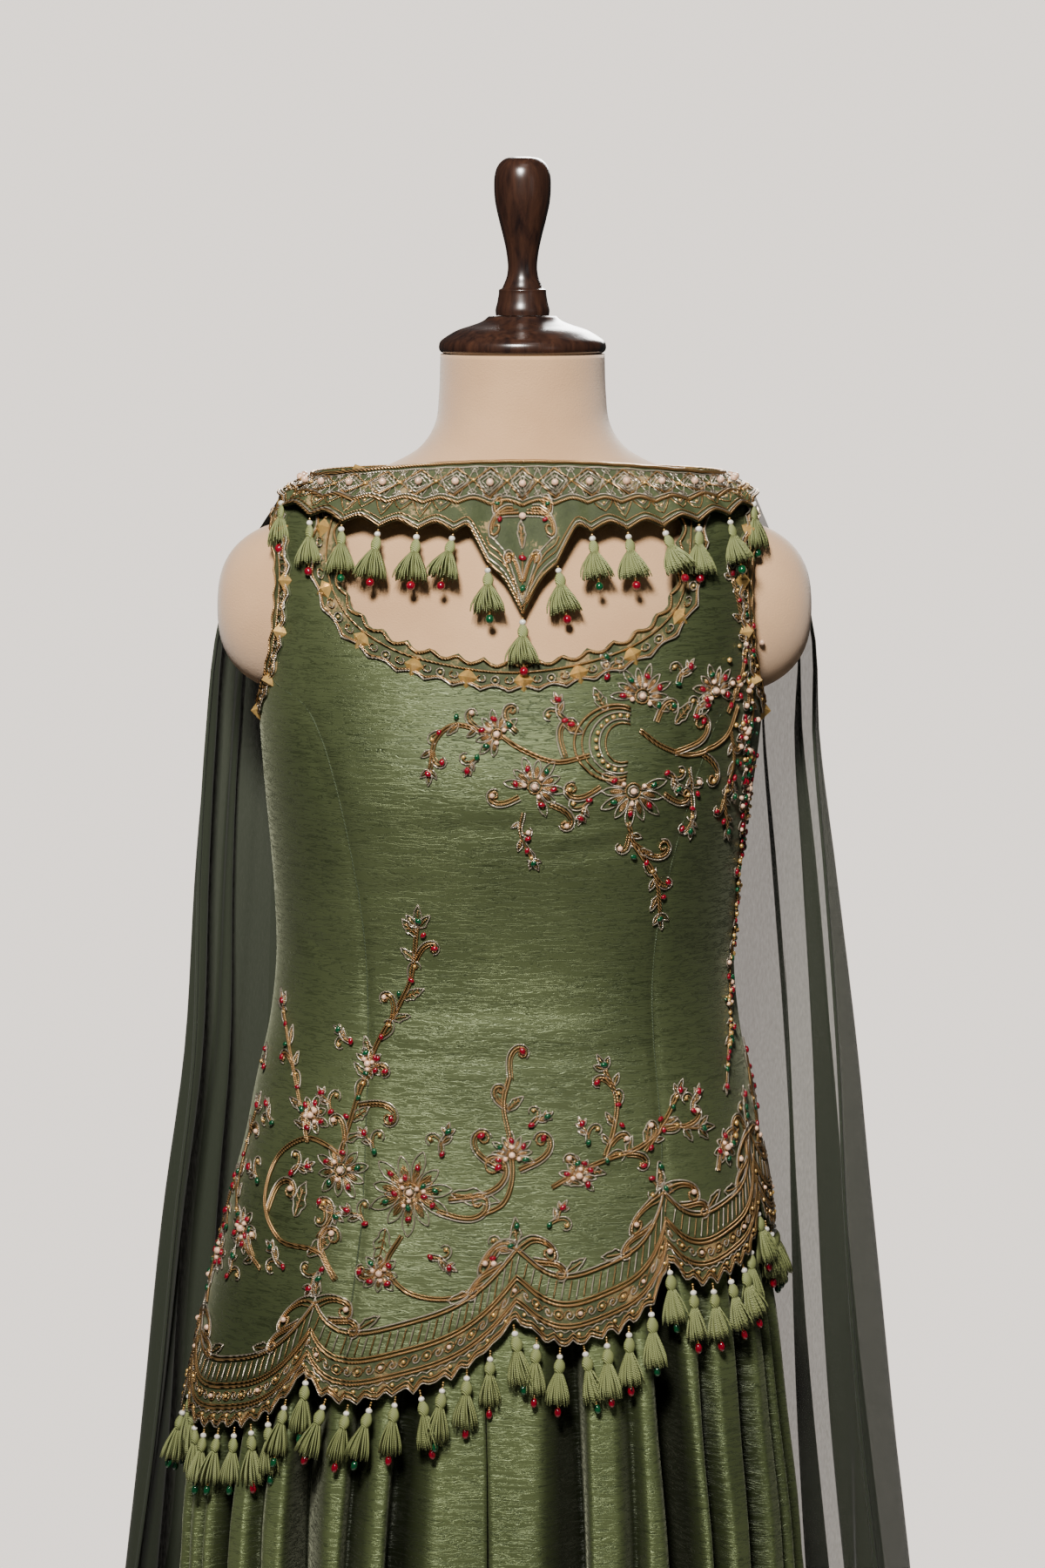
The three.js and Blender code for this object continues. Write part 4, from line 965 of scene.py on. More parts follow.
# %% [markdown]
# ## The collar
# The collar is a boat-shaped yoke from shoulder to shoulder, with a pointed pendant in front. Its low
# edge runs in pointed scallops, one for each tassel.


# %% Collar surface
COLLAR_TIPS = np.array([-163, -143, -121, -96, -70, -46, -23, 0, 23, 46, 70, 94, 118, 139, 156], float)
PENDANT_HALF, PENDANT_DROP = 37, 54
TASSEL_REACH = 7.5  # how far a tassel's foot stands off the cloth below it


def pendant_share(s, x):
    """1 at the pendant's tip, 0 outside it."""
    return np.where(s < 0, np.maximum(0, 1 - np.abs(x) / PENDANT_HALF), 0)


def collar_surface(angle, down):
    s, c = np.sin(angle), np.cos(angle)

    def edge(side, front, back, z_front, z_side, z_back):
        wide = np.where(c < 0, side, side - 6)
        deep = np.where(s < 0, front, back)
        z = z_side + (np.where(s < 0, z_front, z_back) - z_side) * np.abs(s) ** 1.5
        return np.stack([wide * signed_power(c, 0.8), deep * signed_power(s, 0.8), z], axis=-1)

    top = edge(143, 77, 86, 1410, 1400, 1400)
    slope = (np.abs(top[..., 0]) / 143) ** 2
    top[..., 2] = np.where(s < 0, 1410 - 13 * slope, 1399 - 2 * slope)
    low = edge(167, 102, 108, 1369, 1384.6, 1372)
    x = low[..., 0]
    i = np.clip(np.searchsorted(COLLAR_TIPS, x), 1, len(COLLAR_TIPS) - 1)
    share = np.clip((x - COLLAR_TIPS[i - 1]) / (COLLAR_TIPS[i] - COLLAR_TIPS[i - 1]), 0, 1)
    front = (s < 0) & (x > -163) & (x < 156)
    low[..., 2] -= np.where(front, 6 * np.abs(2 * share - 1) ** 1.4, 0)
    pendant = pendant_share(s, x)
    low[..., 2] -= PENDANT_DROP * pendant
    low[..., 1] -= 12 * pendant
    return top + (low - top) * down[..., None]


def on_collar(angle, down, lift):
    return lifted(collar_surface, angle, down, 0.012, 0.02, lift)


collar_angles = np.linspace(0, TAU, 420, endpoint=False)
collar_points = collar_surface(collar_angles[None, :], np.linspace(0, 1, 14)[:, None] * np.ones((1, 420)))
verts, faces = whole_grid(collar_points, True)
collar = thicken(make_piece("collar_ground", verts, faces, COLLAR_GROUND), 1.6)
dress(collar, "cape_collar", slot="zari")

# %% [markdown]
# ## The cape
# One chiffon panel hangs from the back half of the collar. Chiffon is so light that its folds are many
# and shallow, and where they overlap, the green deepens. Its edges have a narrow rolled hem.


# %% Cape
def cape_grid(cols=281, row_count=50):
    heights = 1345 - (1345 - 112) * np.linspace(0, 1, row_count) ** 1.15
    size = CAPE.at(heights)
    share = np.linspace(0, 1, cols)[None, :]
    z = heights[:, None]
    turn = math.pi * share
    x = signed_power(np.cos(turn), 0.78) * np.where(share < 0.5, size[:, 1:2], size[:, 0:1])
    y = size[:, 2:3] + np.abs(np.sin(turn)) ** 0.78 * (size[:, 3:4] - size[:, 2:3])
    drift = 0.25 * np.sin(z / 230)
    wave = np.sin(share * 20 * math.pi + drift) + 0.35 * np.sin(share * 46 * math.pi + 1.0 + z / 200)
    wave = wave * size[:, 4:5] * (0.85 + 0.3 * np.sin(share * 9 + 1))
    out = np.stack([x, y - 0.3 * size[:, 2:3], 0 * x], axis=-1)
    out /= np.linalg.norm(out, axis=-1, keepdims=True)
    p = np.stack([x, y, np.broadcast_to(z, x.shape)], axis=-1) + out * wave[..., None]
    reach = 0.12
    top = collar_surface(reach + (math.pi - 2 * reach) * share[0], np.ones(cols))
    top[:, 2] -= 3.0
    lead = [top + (p[0] - top) * t for t in np.linspace(0, 1, 8, endpoint=False)]
    return np.concatenate([np.array(lead), p])


cape_points = cape_grid()
verts, faces = whole_grid(cape_points, False)
cape = dress(thicken(make_piece("cape_chiffon", verts, faces, CHIFFON), 0.3), "cape", slot="chiffon")

# %% [markdown]
# ## Cords of zari
# Embroidery of this kind is couched: gold and silver cords are laid along a drawn line and stitched
# down. Each line becomes a thin tube whose rings are set square to the line and to the cloth.


# %% Tubes along lines
def tubes(lines, sides=5):
    """One mesh of tubes: each line is (points, normals, radius)."""
    all_verts, all_faces, start = [], [], 0
    turns = np.linspace(0, TAU, sides, endpoint=False)
    for points, normals, radius in lines:
        count = len(points)
        if count < 2:
            continue
        along = unit(np.gradient(points, axis=0))
        side = unit(np.cross(along, normals))
        up = np.cross(side, along)
        r = np.broadcast_to(np.asarray(radius, float), (count,))[:, None, None]
        body = points[:, None, :] + r * (np.cos(turns)[None, :, None] * side[:, None, :]
                                         + np.sin(turns)[None, :, None] * up[:, None, :])
        all_verts.append(body.reshape(-1, 3))
        for i in range(count - 1):
            a, b = start + i * sides, start + (i + 1) * sides
            for k in range(sides):
                j = (k + 1) % sides
                all_faces.append((a + k, a + j, b + j, b + k))
        all_faces.append([start + k for k in reversed(range(sides))])
        all_faces.append([start + (count - 1) * sides + k for k in range(sides)])
        start += count * sides
    return np.concatenate(all_verts), all_faces


def tube_piece(name, lines, mat, sides=5):
    verts, faces = tubes(lines, sides)
    piece = dress(make_piece(name, verts, faces, mat), slot="zari")
    print(name, len(lines), "lines,", 2 * len(faces), "triangles")
    return piece


# %% [markdown]
# ## Drawing motifs
# All motifs are drawn flat, in millimetres across and up the cloth: scrolls that coil, leaves with a
# rib, flowers round pearls. They are this lesson's own drawings of traditional shapes. A drawing
# collects gold lines, silver lines and beads, and is laid on the cloth at the end.


# %% The drawing kit
def resample(points, step):
    length = way_along(points)
    count = max(3, int(length[-1] / step) + 1)
    want = np.linspace(0, length[-1], count)
    return np.stack([np.interp(want, length, points[:, k]) for k in range(points.shape[1])], axis=-1)


def beside(points, gap):
    """The same line moved to its left by a gap."""
    way = unit(np.gradient(points, axis=0))
    return points + gap * np.stack([-way[:, 1], way[:, 0]], axis=1)


def round_spot(u, z, reach, way):
    """Points at a reach and a direction from a centre."""
    return np.stack([u + reach * np.cos(way), z + reach * np.sin(way)], axis=-1)


class Drawing:
    def __init__(self):
        self.lines = []
        self.beads = []
        self.count = 0

    def line(self, points, kind="gold", radius=0.8):
        self.lines.append((np.array(points, float), kind, radius))

    def bead(self, u, z, size, kind):
        self.beads.append((u, z, size, kind))

    def stone(self, u, z, size):
        self.count += 1
        self.bead(u, z, size, ("ruby", "emerald", "ruby")[self.count % 3])

    def coil(self, u, z, heading, size, hand=1, turning=8.0, heavy=True):
        """A scroll that leaves a point and winds up to one hand; returns the heart of its coil."""
        steps = 40
        points = [(u, z)]
        for i in range(steps):
            t = (i + 0.5) / steps
            heading += hand * turning * 3 * t * t / steps
            points.append((points[-1][0] + size / steps * math.cos(heading),
                           points[-1][1] + size / steps * math.sin(heading)))
        points = np.array(points)
        self.line(points, "gold", 0.95 if heavy else 0.6)
        self.line(beside(points[:33], -hand * 1.9), "silver", 0.6)
        if heavy:
            self.line(beside(points[:26], hand * 1.8), "gold", 0.5)
        return tuple(points[-1])

    def curl(self, u, z, heading, size, hand, bead_size, kind, turning=8.0):
        """A heavy coil with a bead at its heart."""
        self.bead(*self.coil(u, z, heading, size, hand, turning), bead_size, kind)

    def leaf(self, u, z, heading, length, width, kind="silver", hatched=True):
        along = np.array([math.cos(heading), math.sin(heading)])
        across = np.array([-along[1], along[0]])
        t = np.linspace(0, 1, 17)
        half = width / 2 * np.sin(math.pi * t**0.8) * (1 + 0.22 * np.sin(t * 6 * math.pi))
        bend = 0.1 * length * np.sin(math.pi * t / 2)
        base = np.array([u, z])
        for hand in (1, -1):
            self.line(base + np.outer(t * length, along) + np.outer(hand * half + bend, across), kind, 0.6)
            if hatched:
                for k in (4, 7, 10):
                    start = base + t[k] * length * along + bend[k] * across
                    end = start + (0.75 * hand * half[k]) * across + 0.13 * length * along
                    self.line([start, (start + end) / 2, end], "gold", 0.4)
        self.line(base + np.outer(t[:13] * length, along) + np.outer(bend[:13], across), "gold", 0.6)

    def petal(self, u, z, way, inner, outer, half, kind):
        q = np.linspace(0, 1, 12)
        swing = half * np.maximum(0.12, np.sin(math.pi * q**0.72) ** 0.8)
        swing[-1] = 0
        for hand in (1, -1):
            r = inner + (outer - inner) * q
            self.line(round_spot(u, z, r, way + hand * swing), kind, 0.55)
            r = inner + 0.72 * (outer - inner) * q[:-2]
            within = 0.5 * swing[:-2]
            self.line(round_spot(u, z, r, way + hand * within), "gold", 0.5)
        r = np.linspace(inner, 0.75 * outer, 4)
        self.line(round_spot(u, z, r, way), "gold", 0.6)

    def flower(self, u, z, radius, petals=7, turn=0.0, open_to=TAU, kind="silver"):
        petals += 2
        step = open_to / (petals if open_to > 6 else petals - 1)
        first = turn if open_to > 6 else turn - open_to / 2
        for k in range(petals):
            way = first + k * step
            reach = radius * (1.0 if k % 2 == 0 else 0.86)
            self.petal(u, z, way, 0.24 * radius, reach, 0.42 * step, kind)
            if k % 2 == 0:
                self.stone(*round_spot(u, z, 0.6 * radius, way), 1.9)
        ring_turns = np.linspace(0, TAU, 18)
        for r, cord in ((0.22, "gold"), (0.14, "silver")):
            self.line(round_spot(u, z, r * radius, ring_turns), cord, 0.7)
        self.bead(u, z, 2.5, "pearl")
        for k in range(3):
            way = turn + 2.1 * k
            self.bead(*round_spot(u, z, 0.33 * radius, way), 1.7, "pearl")

    def bud(self, u, z, heading, size):
        for swing, share in ((-0.75, 0.75), (0.75, 0.75), (0, 1.0)):
            self.leaf(u, z, heading + swing, size * share, size * 0.36, hatched=False)
        self.stone(*round_spot(u, z, 0.3 * size, heading), 2.0)

    def stem(self, path, heavy=True):
        length = np.linalg.norm(np.diff(np.array(path, float), axis=0), axis=1).sum()
        fine = spline(path, max(8, int(length / 2.0)))
        self.line(fine, "gold", 1.0 if heavy else 0.75)
        self.line(beside(fine, 1.9), "gold" if heavy else "silver", 0.65)
        return fine

    def sprig(self, u, z, heading, size, hand=1):
        """A short stem with a coil on one side, leaves on the other and a stone at its foot."""
        end = round_spot(u, z, size, heading)
        bow = round_spot(u, z, 0.5 * size, heading + 0.35 * hand)
        self.stem([(u, z), bow, end], False)
        self.bead(*self.coil(u, z, heading + hand * 0.4, 2.1 * size, hand, 8.2, False), 1.5, "gold")
        self.leaf(*bow, heading - hand * 0.8, 0.7 * size, 0.3 * size, hatched=False)
        self.bud(*end, heading, 0.7 * size)
        self.stone(u, z, 1.9)

    def spray(self, path, leaf=14, hand=1, gap=15, heavy=True):
        """A stem with leaves and coils by turns on both sides, and a bud at its end."""
        fine = self.stem(path, heavy)
        along = way_along(fine)
        for k in range(1, int(along[-1] / gap) + 1):
            i = min(int(np.searchsorted(along, (k - 0.4) * gap)), len(fine) - 2)
            u, z = fine[i]
            heading = math.atan2(*(fine[i + 1] - fine[i - 1])[::-1])
            turn = hand if k % 2 else -hand
            if k % 3 == 1:
                tip = self.coil(u, z, heading + turn * 0.35, leaf * 2.1, turn, 8.2, heavy)
                self.bead(*tip, 1.9, "pearl" if k % 2 else "ruby")
                self.leaf(u, z, heading - turn * 0.9, leaf * 0.8, leaf * 0.34, hatched=False)
            elif k % 3 == 2:
                self.leaf(u, z, heading + turn * 0.7, leaf, leaf * 0.4)
                self.stone(*round_spot(u, z, 4.5, heading - turn * 1.2), 1.8)
            else:
                tip = self.coil(u, z, heading + turn * 0.5, leaf * 1.3, -turn, 7.0, False)
                self.bead(*tip, 1.4, "gold")
                self.stone(u, z, 1.7)
        self.bud(*fine[-1], math.atan2(*(fine[-1] - fine[-3])[::-1]), leaf)


# %% [markdown]
# ## What is embroidered
# A spray crosses the wearer's left breast and climbs to the shoulder; two more grow from the right hip;
# small trees stand on the hem border. Their places follow the suit; the drawing is this lesson's own.


# %% The breast spray
front = Drawing()
# A half-moon of cords is its heart
for k, r in enumerate((25, 22.6, 20, 15.5, 13)):
    turns = np.linspace(1.15, 5.0, 34)
    swell = 1 + 0.12 * (1 - k / 2) * np.cos(turns - 3.1)
    front.line(np.stack([62 + 1.1 * k + r * swell * np.cos(turns), 1225 + r * np.sin(turns)], axis=1),
               "gold" if k in (0, 1, 4) else "silver", 1.0 if k == 0 else 0.7)
for k in range(13):
    a = 1.35 + 0.28 * k
    front.bead(66 + 17.5 * math.cos(a), 1225 + 17.8 * math.sin(a), 1.6, "gold")
front.flower(80, 1255, 22, 7, 1.3, 3.6)
front.flower(74, 1193, 25, 7, -1.7, 3.9)
front.flower(8, 1197, 21, 7, 0.9, 4.2)
front.flower(-17, 1231, 17, 6, 2.6, 3.9)
front.flower(136, 1256, 19, 7, 1.9, 4.4)
front.stem([(44, 1218), (22, 1214), (0, 1222), (-14, 1231)])
front.spray([(-22, 1232), (-44, 1238), (-58, 1228), (-62, 1208)], 11, -1, 13)
front.coil(-4, 1232, 2.3, 34, -1)
front.curl(28, 1216, 1.9, 46, -1, 2.0, "ruby")
front.curl(-2, 1190, 3.6, 38, -1, 1.8, "pearl")
front.curl(18, 1186, -0.4, 40, -1, 1.8, "pearl")
front.curl(52, 1196, 3.7, 44, -1, 1.8, "gold")
front.curl(96, 1190, -0.6, 40, 1, 1.8, "gold")
front.stem([(78, 1232), (96, 1220), (120, 1214), (148, 1224), (160, 1244)])
front.curl(104, 1217, 0.2, 62, 1, 2.0, "ruby")
front.curl(128, 1215, -0.6, 44, -1, 2.0, "gold")
front.curl(90, 1238, 1.2, 34, -1, 1.8, "emerald")
front.spray([(70, 1172), (76, 1154), (90, 1134), (94, 1108)], 12, -1, 12)
front.coil(74, 1158, -0.7, 52, 1)
front.spray([(0, 1180), (-2, 1166), (6, 1148)], 9, 1, 10, False)
front.leaf(56, 1246, 2.0, 18, 7)
front.leaf(40, 1232, 2.6, 15, 6)
front.leaf(104, 1236, 0.7, 20, 8)
front.spray([(116, 1206), (120, 1186), (118, 1166)], 9, 1, 10, False)

# %% [markdown]
# Down the side of the armhole the stones hang close together, thick at the breast and thin at the
# waist, like a climbing plant; its top ends in a small upright stem by the strap.

# %% The armhole side
front.spray([(150, 1240), (162, 1262), (166, 1286), (158, 1310), (150, 1330)], 12, 1, 14)
front.spray([(168, 1262), (180, 1240), (178, 1214), (188, 1190), (182, 1164)], 12, -1, 13)
front.spray([(152, 1228), (158, 1206), (150, 1184), (156, 1162)], 11, 1, 13)
front.spray([(184, 1176), (192, 1150), (184, 1126), (186, 1098), (176, 1070)], 10, 1, 13)
front.spray([(178, 1078), (170, 1052), (168, 1030), (158, 1004), (154, 986)], 8, -1, 14, False)
front.flower(172, 1226, 13, 6, 0.4)
front.flower(186, 1186, 12, 6, 0.9)
hang = np.random.default_rng(3)
for k in range(150):
    drop = hang.random() ** 1.4
    middle = np.interp(drop, [0, 0.3, 0.6, 1], [168, 186, 188, 156])
    u, z = middle + hang.normal(0, 9 * (1 - 0.75 * drop)), 1285 - 290 * drop
    front.bead(u, z, 1.2 + 0.9 * hang.random(), ("gold", "ruby", "pearl", "gold", "emerald", "gold")[k % 6])

# %% The right hip and its side
front.stem([(-126, 862), (-140, 880), (-172, 884), (-188, 906), (-178, 936), (-150, 952), (-124, 944)])
front.curl(-126, 862, 2.2, 64, -1, 2.2, "pearl")
front.curl(-186, 900, 1.2, 60, -1, 2.2, "pearl")
front.spray([(-124, 944), (-116, 970), (-108, 996), (-98, 1020), (-84, 1044), (-74, 1066), (-70, 1100)],
            16, 1, 15)
front.curl(-112, 978, 0.2, 52, -1, 2.0, "ruby")
front.spray([(-150, 950), (-158, 976), (-168, 1002), (-184, 1036)], 14, -1, 14)
front.flower(-124, 934, 20, 8, 0.2)
front.flower(-148, 968, 15, 6, 1.2)
front.flower(-106, 1006, 12, 6, 0.3, 4.4)
front.spray([(-190, 862), (-214, 880), (-228, 908), (-224, 938), (-212, 962)], 15, -1, 15)
front.spray([(-262, 826), (-270, 856), (-256, 886), (-242, 910)], 15, 1, 15)
front.flower(-214, 884, 17, 7, 0.8)
front.flower(-252, 862, 16, 7, 0.1)
front.leaf(-160, 900, 1.1, 26, 10)
front.leaf(-148, 876, 0.5, 24, 9)
front.curl(-140, 888, 0.9, 50, 1, 2.0, "gold")

# %% The flower by the hem and the small trees
front.flower(-76, 922, 29, 9, 0.1)
front.flower(-76, 922, 17, 7, 0.45, TAU, "gold")
front.coil(-58, 910, -0.3, 66, 1)
front.curl(-50, 918, 0.1, 84, 1, 2.4, "ruby", 7.4)
front.leaf(-48, 922, -0.25, 34, 10)
front.leaf(-92, 898, -1.9, 28, 11)
front.stem([(-82, 894), (-92, 874), (-78, 856), (-50, 852), (-26, 862)])
front.curl(-40, 854, 0.3, 64, 1, 2.2, "pearl")
front.curl(-92, 876, -2.2, 40, -1, 2.0, "ruby")
front.flower(-96, 868, 14, 6, 0.7)
front.stem([(-26, 908), (-12, 916), (-6, 934), (-8, 960)])
front.flower(-7, 948, 16, 7, 1.6, 3.8)
front.curl(-12, 938, 2.7, 58, -1, 2.2, "ruby")
front.curl(-2, 938, 0.4, 56, 1, 2.2, "ruby")
front.stem([(-8, 960), (-12, 982), (-8, 1000)])
front.curl(-8, 998, 1.7, 44, -1, 2.2, "ruby")
front.coil(-8, 978, 2.6, 34, -1)
front.leaf(-10, 978, 0.6, 14, 6)
front.spray([(20, 926), (38, 936), (58, 944), (78, 950), (100, 962), (124, 960)], 15, 1, 15)
front.spray([(56, 946), (62, 964), (64, 984), (56, 1004)], 12, -1, 13)
front.flower(38, 934, 14, 6, 1.4, 4.4)
front.spray([(84, 948), (98, 966), (108, 984)], 11, 1, 13)
front.curl(140, 930, 1.3, 60, -1, 2.2, "gold")
front.curl(176, 930, 1.5, 66, 1, 2.2, "gold")
front.spray([(196, 930), (206, 950), (200, 974), (206, 996)], 12, 1, 13)
front.flower(150, 944, 13, 6, 0.2)

# %% Sprigs that fill the gaps between the sprays
SPRIGS = [
    (-136, 868, -2.2, 14), (-168, 866, 2.4, 14), (-198, 918, 2.7, 13), (-164, 928, 0.4, 13),
    (-140, 912, -0.6, 13), (-186, 958, 2.2, 12), (-132, 972, 2.2, 12), (-118, 1020, 2.5, 10),
    (-240, 880, 2.6, 13), (-206, 992, 2.0, 10), (-228, 850, 1.2, 13), (-282, 842, 1.6, 12),
    (-106, 900, 2.6, 13), (-54, 948, 1.3, 13), (-100, 948, 2.2, 12), (28, 1240, 1.9, 12),
    (56, 1268, 1.6, 11), (106, 1262, 0.9, 12), (44, 1188, -2.0, 11), (98, 1204, -0.9, 12),
    (-30, 1216, -2.2, 9), (120, 1240, 0.9, 11), (160, 1196, -1.4, 11), (176, 1204, -1.6, 10),
    (166, 1284, 1.5, 10), (6, 968, 0.5, 10), (44, 956, 1.9, 11), (120, 972, 1.2, 11),
    (88, 930, -0.6, 11), (180, 960, 1.6, 12), (216, 960, 1.4, 11), (-20, 880, 0.6, 12),
    (18, 902, 0.9, 12), (-62, 880, -0.5, 12)]
for k, (u, z, heading, size) in enumerate(SPRIGS):
    front.sprig(u, z, heading, size, 1 if k % 2 else -1)
print("front drawing:", len(front.lines), "lines,", len(front.beads), "beads")


# %% Lay a drawing on the kurti
cords = {"gold": [], "silver": []}
bead_spots = []


def lay_on_kurti(drawing, lift=0.7):
    for points, kind, radius in drawing.lines:
        flat = resample(points, 2.2 if radius > 0.7 else 2.6)
        flat = flat[flat[:, 1] > 700]
        if len(flat) < 3:
            continue
        angle = angle_at(flat[:, 0], flat[:, 1])
        if (flat[:, 1] < hem_height(np.degrees(angle)) + 44).any():
            keep = flat[:, 1] > hem_height(np.degrees(angle)) + 44
            flat, angle = flat[keep], angle[keep]
            if len(flat) < 4 or np.linalg.norm(np.diff(flat, axis=0), axis=1).max() > 6:
                continue
        at, normal = on_kurti(angle, flat[:, 1], np.full(len(flat), lift + radius * 0.4))
        cords[kind].append((at, normal, 0.88 * radius))
    for u, z, size, kind in drawing.beads:
        angle = angle_at([u], [z])
        if z < hem_height(np.degrees(angle[0])) + 42:
            continue
        at, normal = on_kurti(angle, np.array([z]), np.array([lift + size * 0.6]))
        bead_spots.append((at[0], normal[0], size, kind))


lay_on_kurti(front)

# %% [markdown]
# ## Borders
# A border is drawn along its edge: how far along, and how far in from the edge. Rows of cords, ladders,
# rings and curls repeat, with a bead at each tooth and a gold square on each second scallop.


# %% Border patterns along the hem
def hem_line(angle, up, kind, radius):
    """A cord on the kurti: an angle round it, and a height above the hem's line."""
    angle, up = np.broadcast_arrays(np.asarray(angle, float), np.asarray(up, float))
    z = hem_height(np.degrees(angle)) + up
    at, normal = on_kurti(angle, z, np.full(len(z), 1.1 + 0.3 * radius))
    cords[kind].append((at, normal, radius))


def hem_bead(angle, up, size, kind):
    z = hem_height(np.degrees(angle)) + up
    at, normal = on_kurti(np.array([angle]), np.array([z]), np.array([1.0 + 0.6 * size]))
    bead_spots.append((at[0], normal[0], size, kind))


HEM_ROUND = arc[-1]


HEM_PLACES, HEM_ANGLES = np.concatenate([[0], arc]), np.concatenate([angles, [TAU]])


def hem_turn(place):
    return np.interp(np.asarray(place) % HEM_ROUND, HEM_PLACES, HEM_ANGLES)


def hem_rows():
    fine = np.linspace(0, TAU, 720)
    teeth = np.interp(fine, angles, pointed(arc, HEM_TOOTH_PITCH))
    for up, kind, radius in ((4.2, "gold", 0.85), (6.8, "gold", 0.6), (2.4, "silver", 0.5)):
        hem_line(fine, up - 7.4 * teeth, kind, radius)
    for up, kind, radius in ((10.5, "gold", 0.9), (12.9, "gold", 0.65), (25.2, "gold", 0.95),
                             (27.8, "gold", 0.65), (44.0, "gold", 0.9), (46.4, "silver", 0.6)):
        hem_line(fine, up, kind, radius)
    for k in range(int(HEM_ROUND / HEM_TOOTH_PITCH)):
        middle = (k + 0.5) * HEM_TOOTH_PITCH
        hem_bead(hem_turn(middle), 5.6, 1.5, "gold")
        across = hem_turn(middle + np.array([-6, -3, 0, 3, 6.0]))
        hem_line(across, np.array([9.0, 7.2, 8.6, 7.2, 9.0]), "silver", 0.5)
    turn = np.linspace(0, TAU, 11)
    curl = np.linspace(0.4, 6.4, 18)
    for k in range(int(HEM_ROUND / 15.0)):
        middle = (k + 0.5) * 15.0
        hem_line(hem_turn(middle + 3.1 * np.cos(turn)), 19 + 3.1 * np.sin(turn), "gold", 0.6)
        hem_bead(hem_turn(middle), 19, 1.6, "pearl" if k % 3 == 0 else "gold")
        for hand in (-1, 1):
            reach = 0.35 + 0.42 * curl
            across = hem_turn(middle + 7.4 + hand * (0.4 + reach * np.cos(curl)))
            hem_line(across, 19 + hand * reach * np.sin(curl) * 1.2, "silver" if hand > 0 else "gold", 0.5)
    for k in range(int(HEM_ROUND / 5.2)):
        place = k * 5.2
        hem_line(hem_turn(place + np.linspace(0, 2.4, 5)), np.linspace(29.6, 41.6, 5),
                 "gold" if k % 2 else "silver", 0.5)


def cusp_scrolls():
    """Where two lobes meet, two scrolls stand back to back over a small leaf."""
    for cusp in np.radians(HEM_CUSPS[:-1] % 360):
        place = np.interp(cusp, HEM_ANGLES, HEM_PLACES)
        sketch = Drawing()
        for hand in (-1, 1):
            tip = sketch.coil(0, 44, math.pi / 2 - hand * 0.5, 58, -hand, 7.6)
            sketch.bead(*tip, 2.0, "pearl")
            sketch.coil(hand * 12, 47, math.pi / 2 - hand * 1.1, 40, -hand, 7.4)
            sketch.leaf(hand * 34, 47, math.pi / 2 - hand * 1.2, 16, 7, "silver", False)
        sketch.leaf(0, 50, math.pi / 2, 18, 8)
        sketch.stone(0, 60, 2.0)
        for points, kind, radius in sketch.lines:
            flat = resample(points, 2.1)
            hem_line(hem_turn(place + flat[:, 0]), flat[:, 1], kind, radius)
        for x, up, size, kind in sketch.beads:
            hem_bead(hem_turn(place + x), up, size, kind)


hem_rows()
cusp_scrolls()


# %% Border patterns round the neck and the armholes
def edge_spot(outline, place, gap, view, lift):
    """Points in from an outline drawn from the front, the back or a side."""
    length = way_along(outline)
    place = np.asarray(place, float)

    def point(where):
        return np.stack([np.interp(where, length, outline[:, k]) for k in (0, 1)], axis=-1)

    at = point(place)
    way = point(np.minimum(place + 1, length[-1])) - point(np.maximum(place - 1, 0))
    way = unit(way)
    out = np.stack([way[:, 1], -way[:, 0]], axis=-1)
    at = at + out * np.asarray(gap, float)[:, None]
    z = np.minimum(at[:, 1], 1403)
    size = KURTI.at(z)
    if view in ("front", "back"):
        wide = np.where(at[:, 0] < 0, size[:, 0], size[:, 1])
        c = np.sign(at[:, 0]) * np.minimum(1, np.abs(at[:, 0]) / wide) ** (ROUNDNESS / 2)
        angle = np.arccos(c)
        angle = TAU - angle if view == "front" else angle
    else:
        deep = np.where(at[:, 0] < 0, size[:, 2], size[:, 3])
        s = np.sign(at[:, 0]) * np.minimum(1, np.abs(at[:, 0]) / deep) ** (ROUNDNESS / 2)
        angle = np.arcsin(s) if view == "left" else math.pi - np.arcsin(s)
    keep = at[:, 1] < 1399
    spots, normal = on_kurti(angle, z, np.full(len(z), lift))
    return spots, normal, keep


def edge_line(outline, place, gap, view, kind, radius, lift=1.7):
    at, normal, keep = edge_spot(outline, place, gap, view, lift)
    if keep.all():
        cords[kind].append((at, normal, radius))
    else:
        runs = np.split(np.arange(len(keep)), np.flatnonzero(np.diff(keep.astype(int))) + 1)
        for run in runs:
            if keep[run[0]] and len(run) > 2:
                cords[kind].append((at[run], normal[run], radius))


gold_squares = []


